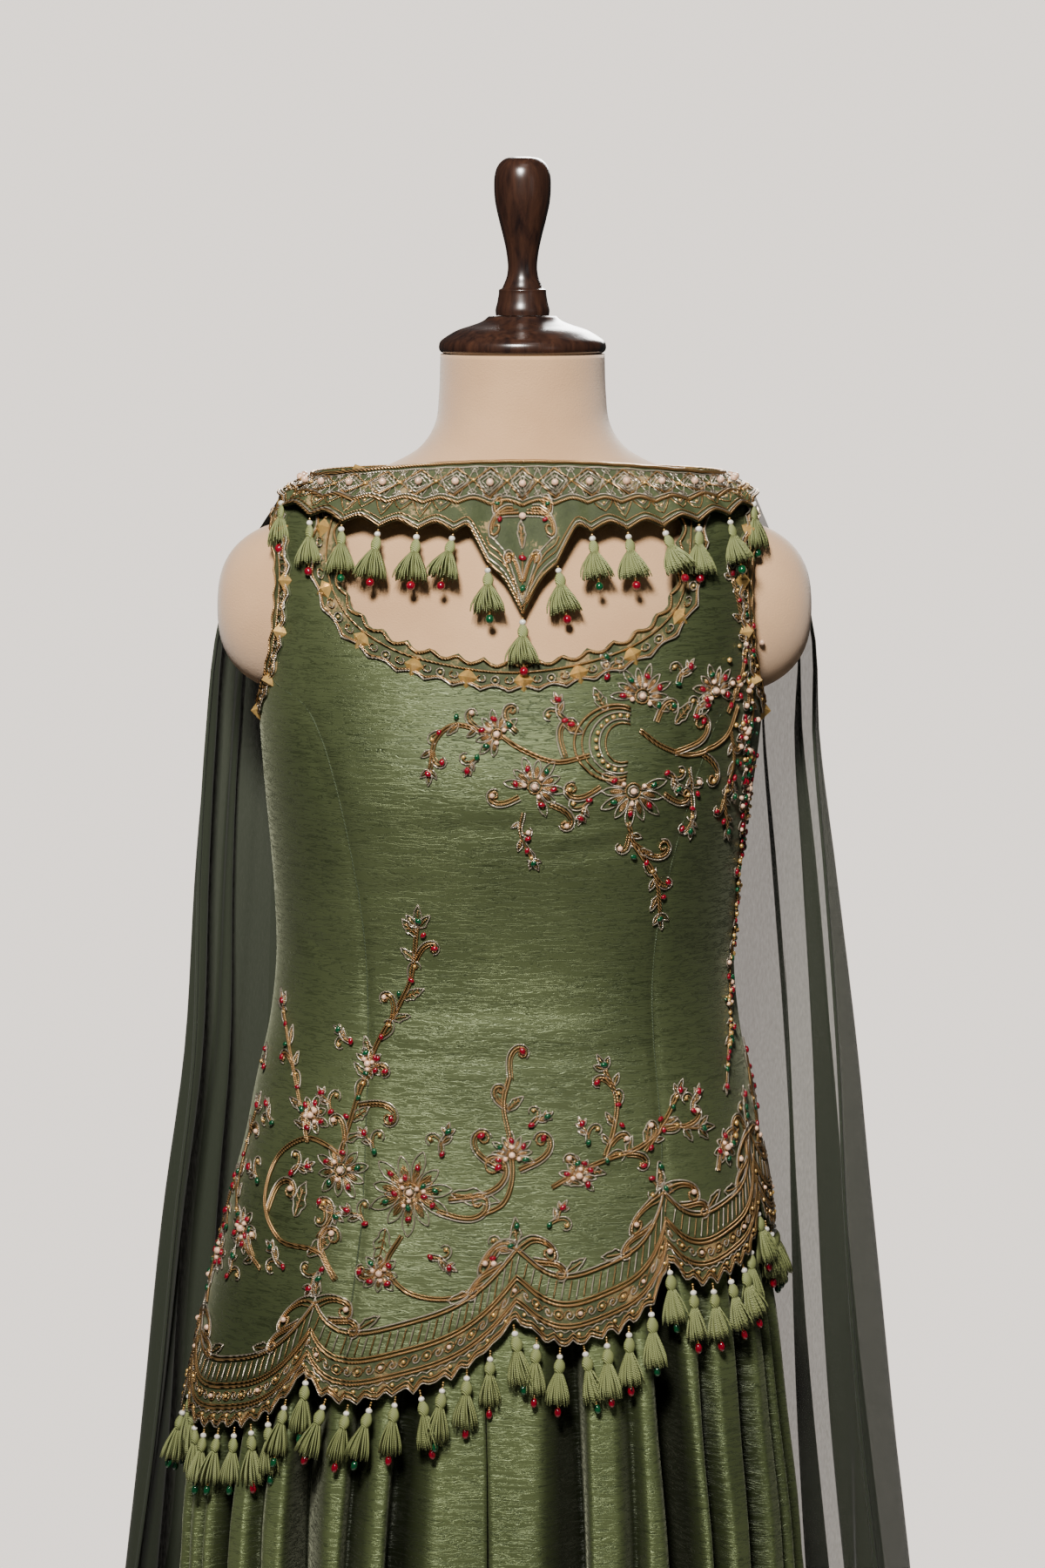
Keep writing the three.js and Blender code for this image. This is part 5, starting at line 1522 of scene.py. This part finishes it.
def edge_border(outline, pitch, tooth, inner, view):
    length = np.linalg.norm(np.diff(outline, axis=0), axis=1).sum()
    fine = np.arange(0, length, 2.1)
    scallop = pointed(fine, pitch)
    edge_line(outline, fine, 1.2 - (tooth - 1) * scallop, view, "gold", 0.9)
    edge_line(outline, fine, np.full(len(fine), 4.6), view, "gold", 0.7)
    edge_line(outline, fine, inner - 2.5 * (1 - scallop), view, "gold", 0.8)
    edge_line(outline, fine, inner + 1.8 - 3.5 * (1 - scallop), view, "silver", 0.6)
    middle = (4.6 + inner) / 2
    count = int(length / pitch)
    for k in range(count):
        spot = (k + 0.5) * pitch
        turn = np.linspace(0, TAU, 13)
        if k % 2 == 0:
            at, normal, keep = edge_spot(outline, [spot], [middle], view, 2.2)
            ahead, _, _ = edge_spot(outline, [spot + 1], [middle], view, 2.2)
            if keep[0]:
                gold_squares.append((at[0], normal[0], ahead[0] - at[0]))
        else:
            edge_line(outline, spot + 2.6 * np.cos(turn), middle + 2.6 * np.sin(turn), view, "silver", 0.5)
            at, normal, keep = edge_spot(outline, [spot], [middle], view, 2.2)
            if keep[0]:
                bead_spots.append((at[0], normal[0], 1.2, "gold"))
        for hand in (-1, 1):
            curl = np.linspace(0, 4.4, 12)
            reach = 1.2 + 0.55 * curl
            place = spot + pitch * 0.5 + hand * reach * np.cos(curl) * 0.9
            kind = "gold" if hand > 0 else "silver"
            edge_line(outline, place, middle + reach * np.sin(curl) * 0.7, view, kind, 0.5)


NECK_INNER, ARM_INNER = 15.5, 10.5
edge_border(NECK_FRONT, NECK_PITCH, NECK_TOOTH, NECK_INNER, "front")
edge_border(NECK_BACK, NECK_PITCH, NECK_TOOTH, NECK_INNER, "back")
edge_border(ARMHOLE, ARM_PITCH, ARM_TOOTH, ARM_INNER, "left")
edge_border(ARMHOLE, ARM_PITCH, ARM_TOOTH, ARM_INNER, "right")


# %% [markdown]
# The collar's rows keep their distance from its top edge, also over the pendant, so each is placed by
# a share of the plain band's depth. The upper band is a lattice with a pearl in each diamond; the lower
# one follows the scallops, and the pendant has a pair of scrolls of its own.


# %% Patterns on the collar
def collar_round():
    turns = np.linspace(0, TAU, 2001)
    line = collar_surface(turns, np.full(2001, 0.3))
    return turns, way_along(line)


COLLAR_TURNS, COLLAR_ARC = collar_round()
COLLAR_ROUND = COLLAR_ARC[-1]
COLLAR_FRONT = np.interp(1.5 * math.pi, COLLAR_TURNS, COLLAR_ARC)


def collar_spot(place, fall, lift):
    """A spot at a place round the collar from its front's middle, and a share of the plain band's depth."""
    turn = np.interp((np.asarray(place, float) + COLLAR_FRONT) % COLLAR_ROUND, COLLAR_ARC, COLLAR_TURNS)
    top, low = collar_surface(turn, np.zeros(turn.shape)), collar_surface(turn, np.ones(turn.shape))
    pendant = pendant_share(np.sin(turn), low[..., 0]) * PENDANT_DROP
    depth = np.linalg.norm(top - low, axis=-1)
    plain = np.maximum(depth - pendant, 12)
    return on_collar(turn, np.clip(np.asarray(fall) * plain / depth, 0, 1), np.full(turn.shape, lift))


def collar_line(place, fall, kind, radius):
    place, fall = np.broadcast_arrays(np.asarray(place, float), np.asarray(fall, float))
    at, normal = collar_spot(place, fall, 0.3 + 0.3 * radius)
    cords[kind].append((at, normal, radius))


def collar_bead(place, fall, size, kind):
    at, normal = collar_spot(np.array([float(place)]), np.array([float(fall)]), 0.3 + 0.6 * size)
    bead_spots.append((at[0], normal[0], size, kind))


def collar_rows():
    fine = np.linspace(0, COLLAR_ROUND, 520)
    for fall, kind, radius in ((0.03, "gold", 1.4), (0.1, "silver", 0.6), (0.6, "gold", 1.3),
                               (0.54, "silver", 0.6)):
        collar_line(fine, fall, kind, radius)
    turns = np.linspace(0, TAU, 560)
    for down, kind, radius in ((0.985, "gold", 0.9), (0.94, "silver", 0.6), (0.88, "gold", 0.6)):
        at, normal = on_collar(turns, np.full(560, down), np.full(560, 0.5))
        cords[kind].append((at, normal, radius))
    count = int(COLLAR_ROUND / 24.5)
    step = COLLAR_ROUND / count
    diamond = np.array([0, 1, 0, -1, 0])
    upright = np.array([1, 0, -1, 0, 1])
    for k in range(count):
        middle = k * step
        for size, kind, radius in ((1.0, "gold", 0.95), (0.76, "silver", 0.75), (0.5, "silver", 0.65)):
            collar_line(middle + diamond * step * 0.5 * size, 0.32 + 0.21 * size * upright, kind, radius)
        collar_bead(middle, 0.32, 2.7, "pearl")
        for side in (0.14, 0.5):
            collar_line(middle + step * (0.5 + 0.12 * diamond), side + 0.05 * upright, "silver", 0.5)
        collar_bead(middle + step / 2, 0.32, 1.5, "gold")
    trellis = step / 3
    for k in range(3 * count):
        for hand in (-1, 1):
            run = k * trellis + hand * trellis * np.linspace(-0.5, 0.5, 5)
            collar_line(run, np.linspace(0.12, 0.52, 5), "silver", 0.45)
    for k in range(2 * count):
        middle = (k + 0.5) * step / 2
        if abs((middle + COLLAR_ROUND / 2) % COLLAR_ROUND - COLLAR_ROUND / 2) < 50:
            continue
        collar_line(middle + np.array([-5.6, -2.8, 0, 2.8, 5.6]),
                    np.array([0.64, 0.75, 0.82, 0.75, 0.64]), "gold", 0.6)
        collar_line(middle + np.array([-3.4, 0, 3.4]), np.array([0.64, 0.73, 0.64]), "silver", 0.5)
        collar_bead(middle, 0.69, 1.2, "gold")


def pendant_scrolls():
    """Millimetres right of the pendant's middle line, and below the collar's middle cord."""
    sketch = Drawing()
    for hand in (-1, 1):
        sketch.curl(hand * 4, -4, -math.pi / 2 + hand * 1.25, 44, hand, 1.6, "emerald", 7.8)
        sketch.coil(hand * 10, -3, -math.pi / 2 + hand * 1.45, 40, -hand, 6.6)
        sketch.curl(hand * 1, -40, math.pi / 2 - hand * 0.6, 30, -hand, 1.3, "gold", 7.0)
        outer = [(33, -18), (22, -29), (12, -42), (5, -51), (0, -56)]
        within = [(29, -17), (19, -28), (10, -39), (4, -47), (0, -51)]
        sketch.line([(hand * x, fall) for x, fall in outer], "gold", 0.7)
        sketch.line([(hand * x, fall) for x, fall in within], "silver", 0.6)
    sketch.leaf(0, -22, math.pi / 2, 15, 8)
    sketch.line([(0, -46), (0, -34), (0, -24)], "gold", 0.7)
    for x, fall, size, kind in ((0, -5, 2.6, "pearl"), (0, -27, 2.2, "ruby"), (0, -43, 2.0, "emerald"),
                                (22, -10, 1.7, "ruby"), (-22, -10, 1.7, "ruby"),
                                (10, -30, 1.3, "gold"), (-10, -30, 1.3, "gold")):
        sketch.bead(x, fall, size, kind)
    for points, kind, radius in sketch.lines:
        flat = resample(points, 1.8)
        collar_line(0.77 * flat[:, 0], 0.62 - flat[:, 1] / 41.0, kind, radius)
    for x, fall, size, kind in sketch.beads:
        collar_bead(0.77 * x, 0.62 - fall / 41.0, size, kind)


collar_rows()
pendant_scrolls()


# %% [markdown]
# The beads are scattered by Geometry Nodes: points carry a size and a facing, an instance goes on each,
# and the tree realizes them and gives them their finish. Each kind of bead has such a tree.


# %% Geometry Nodes that put a shape on each point
def scatter_tree(name, mat, seed):
    tree = bpy.data.node_groups.new(name, "GeometryNodeTree")
    face = tree.interface
    face.new_socket("Geometry", in_out="INPUT", socket_type="NodeSocketGeometry")
    shape = face.new_socket("Shape", in_out="INPUT", socket_type="NodeSocketObject")
    size = face.new_socket("Size", in_out="INPUT", socket_type="NodeSocketFloat")
    size.default_value = 1.0
    loose = face.new_socket("Looseness", in_out="INPUT", socket_type="NodeSocketFloat")
    loose.default_value = 0.06
    face.new_socket("Geometry", in_out="OUTPUT", socket_type="NodeSocketGeometry")
    nodes, links = tree.nodes, tree.links
    into, out = nodes.new("NodeGroupInput"), nodes.new("NodeGroupOutput")
    info = nodes.new("GeometryNodeObjectInfo")
    place = nodes.new("GeometryNodeInstanceOnPoints")
    real = nodes.new("GeometryNodeRealizeInstances")
    finish = nodes.new("GeometryNodeSetMaterial")
    finish.inputs["Material"].default_value = mat
    turn = nodes.new("GeometryNodeInputNamedAttribute")
    turn.data_type = "FLOAT_VECTOR"
    turn.inputs["Name"].default_value = "turn"
    big = nodes.new("GeometryNodeInputNamedAttribute")
    big.data_type = "FLOAT_VECTOR"
    big.inputs["Name"].default_value = "size"
    rotate = nodes.new("FunctionNodeEulerToRotation")
    chance = nodes.new("FunctionNodeRandomValue")
    chance.data_type = "FLOAT"
    chance.inputs["Seed"].default_value = seed
    less = nodes.new("ShaderNodeMath")
    less.operation = "SUBTRACT"
    less.inputs[0].default_value = 1.0
    more = nodes.new("ShaderNodeMath")
    more.operation = "ADD"
    more.inputs[0].default_value = 1.0
    links.new(into.outputs["Looseness"], less.inputs[1])
    links.new(into.outputs["Looseness"], more.inputs[1])
    links.new(less.outputs[0], chance.inputs[2])
    links.new(more.outputs[0], chance.inputs[3])
    scale = nodes.new("ShaderNodeVectorMath")
    scale.operation = "SCALE"
    both = nodes.new("ShaderNodeMath")
    both.operation = "MULTIPLY"
    links.new(chance.outputs[1], both.inputs[0])
    links.new(into.outputs["Size"], both.inputs[1])
    links.new(big.outputs["Attribute"], scale.inputs[0])
    links.new(both.outputs[0], scale.inputs["Scale"])
    links.new(into.outputs["Shape"], info.inputs["Object"])
    links.new(into.outputs["Geometry"], place.inputs["Points"])
    links.new(info.outputs["Geometry"], place.inputs["Instance"])
    links.new(turn.outputs["Attribute"], rotate.inputs[0])
    links.new(rotate.outputs[0], place.inputs["Rotation"])
    links.new(scale.outputs["Vector"], place.inputs["Scale"])
    links.new(place.outputs["Instances"], real.inputs["Geometry"])
    links.new(real.outputs["Geometry"], finish.inputs["Geometry"])
    links.new(finish.outputs["Geometry"], out.inputs["Geometry"])
    return tree, shape.identifier, size.identifier, loose.identifier


def facing(direction, up=(0, 0, 1)):
    """Euler angles that turn +Z to a direction, with +X kept level."""
    z = Vector(direction).normalized()
    side = Vector(up).cross(z)
    if side.length < 1e-4:
        side = Vector((1, 0, 0))
    side.normalize()
    turn = Matrix((side, z.cross(side), z)).transposed()
    return tuple(turn.to_euler())


def scattered(name, spots, shape, mat, seed, looseness=0.06, nodes_replaced=(), slot="zari"):
    """spots are (point mm, euler, (x, y, z) scale); the result is one plain mesh."""
    mesh = bpy.data.meshes.new(name)
    mesh.from_pydata([tuple(np.asarray(s[0]) * MM) for s in spots], [], [])
    turn = mesh.attributes.new("turn", "FLOAT_VECTOR", "POINT")
    turn.data.foreach_set("vector", np.array([s[1] for s in spots], float).ravel())
    size = mesh.attributes.new("size", "FLOAT_VECTOR", "POINT")
    size.data.foreach_set("vector", np.array([s[2] for s in spots], float).ravel())
    piece = bpy.data.objects.new(name, mesh)
    bpy.context.scene.collection.objects.link(piece)
    tree, shape_id, size_id, loose_id = scatter_tree(name + "_tree", mat, seed)
    on = piece.modifiers.new("scatter", "NODES")
    on.node_group = tree
    on[shape_id] = shape
    on[size_id] = 1.0
    on[loose_id] = looseness
    plain_mesh(piece)
    piece.data.shade_smooth()
    print(name, len(spots), "shapes,", len(piece.data.polygons), "faces")
    return dress(piece, *nodes_replaced, slot=slot)


def shape_of(name, verts, faces):
    """A shape to scatter, in metres, kept out of the scene's collections."""
    mesh = bpy.data.meshes.new(name)
    mesh.from_pydata([tuple(v) for v in verts], [], faces)
    mesh.shade_smooth()
    return bpy.data.objects.new(name, mesh)


def ball(name, rings=6, sides=8, squash=1.0):
    verts = [(0, 0, squash)]
    for i in range(1, rings):
        a = math.pi * i / rings
        verts += [(math.sin(a) * math.cos(TAU * k / sides), math.sin(a) * math.sin(TAU * k / sides),
                   squash * math.cos(a)) for k in range(sides)]
    verts.append((0, 0, -squash))
    faces = [(0, 1 + k, 1 + (k + 1) % sides) for k in range(sides)]
    for i in range(rings - 2):
        a, b = 1 + i * sides, 1 + (i + 1) * sides
        faces += [(a + k, b + k, b + (k + 1) % sides, a + (k + 1) % sides) for k in range(sides)]
    last = len(verts) - 1
    a = 1 + (rings - 2) * sides
    faces += [(last, a + (k + 1) % sides, a + k) for k in range(sides)]
    return shape_of(name, verts, faces)


BALL = ball("ball")
STONE = ball("stone", 4, 6, 0.75)

# %% [markdown]
# ## Tassels
# A tassel is a bundle of silk threads tied under a wound head. It hangs from a short string of beads,
# and a second string inside it ends in a glass drop below the threads.


# %% One tassel's threads
def tassel_threads(name, strands, seed, length=24, flare=9.4, head=4.0, drop=9):
    rng = np.random.default_rng(seed)
    verts, faces = [], []

    def tube(line, radius, sides=3):
        start = len(verts)
        line = np.array(line, float)
        along = np.gradient(line, axis=0)
        for p, d, r in zip(line, along, np.broadcast_to(radius, (len(line),))):
            d = Vector(d).normalized()
            a = d.orthogonal().normalized()
            b = d.cross(a)
            for k in range(sides):
                t = TAU * k / sides
                verts.append(tuple((Vector(p) + float(r) * (math.cos(t) * a + math.sin(t) * b)) * MM))
        for i in range(len(line) - 1):
            for k in range(sides):
                j = (k + 1) % sides
                a, b = start + i * sides, start + (i + 1) * sides
                faces.append((a + k, b + k, b + j, a + j))
        faces.append([start + k for k in range(sides)])
        faces.append([start + (len(line) - 1) * sides + k for k in reversed(range(sides))])

    neck = -drop - 2 * head
    for s in range(strands):
        a = TAU * s / strands * 2.4 + rng.uniform(-0.2, 0.2)
        r = math.sqrt((s + 0.5) / strands)
        out = flare * r * rng.uniform(0.85, 1.12)
        end = neck - length * rng.uniform(0.9, 1.04)
        points = []
        for t in np.linspace(0, 1, 5):
            w = 1.9 * r + (out - 1.9 * r) * (1 - (1 - t) ** 1.7) ** 1.1
            turn = a + 0.25 * t
            points.append((w * math.cos(turn), w * math.sin(turn), neck + 0.8 + (end - neck) * t))
        tube(points, [0.45, 0.75, 0.8, 0.75, 0.45])
    rings, sides = 9, 12
    start = len(verts)
    for i in range(rings + 1):
        t = i / rings
        z = -drop + 0.8 - (2 * head + 2.2) * t
        r = head * math.sin(math.pi * min(0.97, max(0.1, 0.08 + 0.78 * t))) ** 0.7
        r *= 1 + 0.05 * (i % 2)
        for k in range(sides):
            verts.append((r * math.cos(TAU * k / sides) * MM, r * math.sin(TAU * k / sides) * MM, z * MM))
    for i in range(rings):
        for k in range(sides):
            j = (k + 1) % sides
            a, b = start + i * sides, start + (i + 1) * sides
            faces.append((a + k, b + k, b + j, a + j))
    faces.append([start + k for k in range(sides)])
    faces.append([start + rings * sides + k for k in reversed(range(sides))])
    return shape_of(name, verts, faces)


HEM_THREADS = [tassel_threads(f"hem_threads_{i}", 44, 11 + i) for i in range(2)]
COLLAR_THREADS = tassel_threads("collar_threads", 70, 5, 20, 13.0, 3.6, 6)


# %% Where the tassels hang
def hem_tassel_spots(count=72):
    fine = np.linspace(0, TAU, 2881)
    line = ring(KURTI, fine, hem_height(np.degrees(fine)))
    along = np.concatenate([[0], np.cumsum(np.hypot(*np.diff(line[:, :2], axis=0).T))])
    spots = []
    for k in range(count):
        angle = np.interp(along[-1] * (k + 0.5) / count, along, fine)
        z = float(hem_height(np.degrees(angle))) - 2.6
        at, _ = on_kurti(np.array([angle]), np.array([z]), np.array([-0.8]))
        out = np.array([at[0][0], at[0][1] * 1.4, 0])
        out /= np.linalg.norm(out)
        low = z - 36
        now, then = KURTI.at(np.array([z]))[0], SHARARA.at(np.array([low]))[0]
        wide = then[0] / now[0] if at[0][0] < 0 else then[1] / now[1]
        deep = then[2] / now[2] if at[0][1] < 0 else then[3] / now[3]
        foot = np.array([at[0][0] * wide, at[0][1] * deep, low]) + out * TASSEL_REACH
        spots.append((at[0], at[0] - foot, out))
    return spots


def collar_tassel_spots():
    spots = []
    for x in COLLAR_TIPS:
        wide = 167 if x < 0 else 161
        turn = TAU - math.acos(math.copysign(min(1, abs(x) / wide) ** 1.25, x))
        at, _ = on_collar(np.array([turn]), np.array([1.0]), np.array([-1.0]))
        p = at[0] - [0, 0, 0.8]
        low = p[2] - 35
        left, right, front_size, _ = KURTI.at(np.array([low]))[0]
        out = np.array([p[0], p[1] * 2, 0])
        out /= np.linalg.norm(out)
        wide = min(1, abs(p[0]) / (left if p[0] < 0 else right))
        y = -front_size * (1 - wide**ROUNDNESS) ** (1 / ROUNDNESS)
        foot = np.array([p[0], min(p[1], y), low]) + out * TASSEL_REACH
        spots.append((p, p - foot, out))
    return spots


hem_spots = hem_tassel_spots()
collar_spots = collar_tassel_spots()


def tassel_set(name, spots, threads, replaced, drop, head, length, seed, squash, stone):
    rng = np.random.default_rng(seed)
    points, seeds, pearls, stones = [], [], [], {"ruby": [], "emerald": []}
    for k, (at, up, out) in enumerate(spots):
        up = up / np.linalg.norm(up)
        swing = rng.normal(0, 0.13, 3) * [1, 0.4, 0]
        up = (up + swing) / np.linalg.norm(up + swing)
        turn = facing(up, tuple(out))
        points.append((at, turn, (1, squash, 1)))
        for i in range(3):
            seeds.append((at - up * (0.8 + 1.7 * i), turn, (0.8 * MM,) * 3))
        pearls.append((at - up * (drop - 2.4), turn, (2.3 * MM, 2.3 * MM, 2.0 * MM)))
        foot = drop + 2 * head + length
        for i in range(3):
            seeds.append((at - up * (foot + 1.4 * i - 1.5), turn, (0.75 * MM,) * 3))
        kind = "ruby" if rng.random() < 0.5 else "emerald"
        stones[kind].append((at - up * (foot + 3.4), turn, tuple(np.array(stone) * MM)))
    for i, shape in enumerate(threads):
        part = [p for k, p in enumerate(points) if k % len(threads) == i]
        nodes = replaced[i] if i < len(replaced) else ()
        scattered(f"{name}_threads_{i + 1}", part, shape, SILK, seed + i, 0.05, nodes, "silk_thread")
    scattered(f"{name}_seed_beads", seeds, STONE, GOLD_BEAD, seed + 3, 0.05)
    scattered(f"{name}_pearls", pearls, BALL, WHITE_PEARL, seed + 4, 0.05)
    scattered(f"{name}_red_drops", stones["ruby"], BALL, RUBY, seed + 5, 0.05)
    scattered(f"{name}_green_drops", stones["emerald"], BALL, EMERALD, seed + 6, 0.05)


tassel_set("hem_tassel", hem_spots, HEM_THREADS, [["hem_tassels_front"], ["hem_tassels_back"]],
           9, 4.0, 24, 20, 0.8, (2.4, 2.4, 3.6))
tassel_set("collar_tassel", collar_spots, [COLLAR_THREADS],
           [[f"collar_tassel_{i:02d}" for i in range(1, 16)]], 6, 3.6, 20, 40, 0.6, (3.1, 3.1, 3.1))

# %% [markdown]
# Each seam shows as a thin dark line, because its thread pulls the cloth down: a dark cord on the seam
# paints the shade of that groove. The form has a stitched line too, where each arm cap meets the torso.


# %% Seam lines
def seam_lines():
    lines = []
    heights = np.arange(1262, 800, -4.0)
    right, left = seam_angles(heights)
    for turn in (right, left, TAU - right, TAU - left):
        keep = heights > hem_height(np.degrees(turn)) + 4
        at, normal = on_kurti(turn[keep], heights[keep], np.full(keep.sum(), 0.1))
        lines.append((at, normal, 0.55))
    for turn in (0.0, math.pi):
        down = heights[(heights < 1232) & (heights > hem_height(np.degrees(turn)) + 4)]
        at, normal = on_kurti(np.full(len(down), turn), down, np.full(len(down), 0.1))
        lines.append((at, normal, 0.55))
    return lines


def cap_lines():
    lines = []
    for side, wide in ((-1, 153), (1, 142)):
        turns = np.linspace(0, TAU, 90)
        share = math.cos(math.asin(3 / 59)) ** 0.75
        ring_at = np.stack([np.full(90, float(side * wide)), 43.6 * share * np.cos(turns),
                            1305.5 + 60.8 * share * np.sin(turns)], axis=-1)
        lines.append((ring_at, np.tile([side, 0.0, 0.0], (90, 1)), 0.6))
    return lines


# The seam cords are painted shade; the arm caps' stitching is in the form's own suede.
verts, faces = tubes(seam_lines(), 4)
dress(make_piece("seam_threads", verts, faces, SEAM_SHADE_CORD), slot="satin")
verts, faces = tubes(cap_lines(), 4)
dress(make_piece("arm_cap_stitching", verts, faces, SUEDE), slot="suede")


# %% [markdown]
# The cape's edges are rolled over a thread and stitched, so they are darker and rounder than the chiffon.

# %% Rolled hem of the cape
def cape_hem():
    lines = []
    for edge in (cape_points[7:, 0], cape_points[7:, -1], cape_points[-1]):
        away = np.stack([edge[:, 0], edge[:, 1], np.zeros(len(edge))], axis=-1)
        away /= np.linalg.norm(away, axis=1, keepdims=True)
        lines.append((edge, away, 1.3))
    verts, faces = tubes(lines, 6)
    return dress(make_piece("cape_rolled_hem", verts, faces, CHIFFON_HEM), slot="chiffon")


cape_edge = cape_hem()

# %% Lay the cords and scatter the beads
tube_piece("gold_cords", cords["gold"], GOLD, 4)
tube_piece("silver_cords", cords["silver"], SILVER, 4)
kinds = {"pearl": (PEARL, BALL), "ruby": (RUBY, STONE), "emerald": (EMERALD, STONE),
         "gold": (GOLD_BEAD, STONE)}
for kind, (mat, shape) in kinds.items():
    long = 1.45 if kind in ("ruby", "emerald") else 1.0
    some = [spot for spot in bead_spots if spot[3] == kind]
    spots = []
    for i, (at, normal, size, _) in enumerate(some):
        turn = facing(normal, (math.sin(2.4 * i), 0.3, math.cos(2.4 * i)))
        spots.append((at, turn, (size * MM, size * long * MM, size * MM)))
    scattered(f"{kind}_beads", spots, shape, mat, 60)
pyramid = shape_of("pyramid", [(-1, 0, -0.3), (0, -1, -0.3), (1, 0, -0.3), (0, 1, -0.3), (0, 0, 0.55)],
                   [(0, 1, 4), (1, 2, 4), (2, 3, 4), (3, 0, 4), (3, 2, 1, 0)])
SQUARE_HALF = 7.4
squares = [(at, facing(normal, tuple(ahead)), (SQUARE_HALF * MM,) * 3) for at, normal, ahead in gold_squares]
scattered("gold_squares", squares, pyramid, GOLD_BEAD, 70, 0.04).data.shade_flat()


SHEETS = [
    (kurti, 0.81, 0.62, "gathered", "form"), (legs["left"], 1.58, 1.03, "hung", "waistband"),
    (legs["right"], 1.54, 1.03, "hung", "waistband"), (cape, 0.92, 1.32, "hung", "collar_ground"),
    (collar, 0.79, 0.042, "draped", "kurti_cloth"), (waistband, 0.74, 0.037, "stretched", "form"),
    (neck_band, 0.93, 0.020, "laid", "kurti_cloth"), (arm_left, 0.42, 0.015, "laid", "kurti_cloth"),
    (arm_right, 0.44, 0.015, "laid", "kurti_cloth"), (hem_band, 1.15, 0.026, "laid", "kurti_cloth")]
for piece, width, length, held, rests in SHEETS:
    print(piece.name, "flat", width, "x", length, "m")
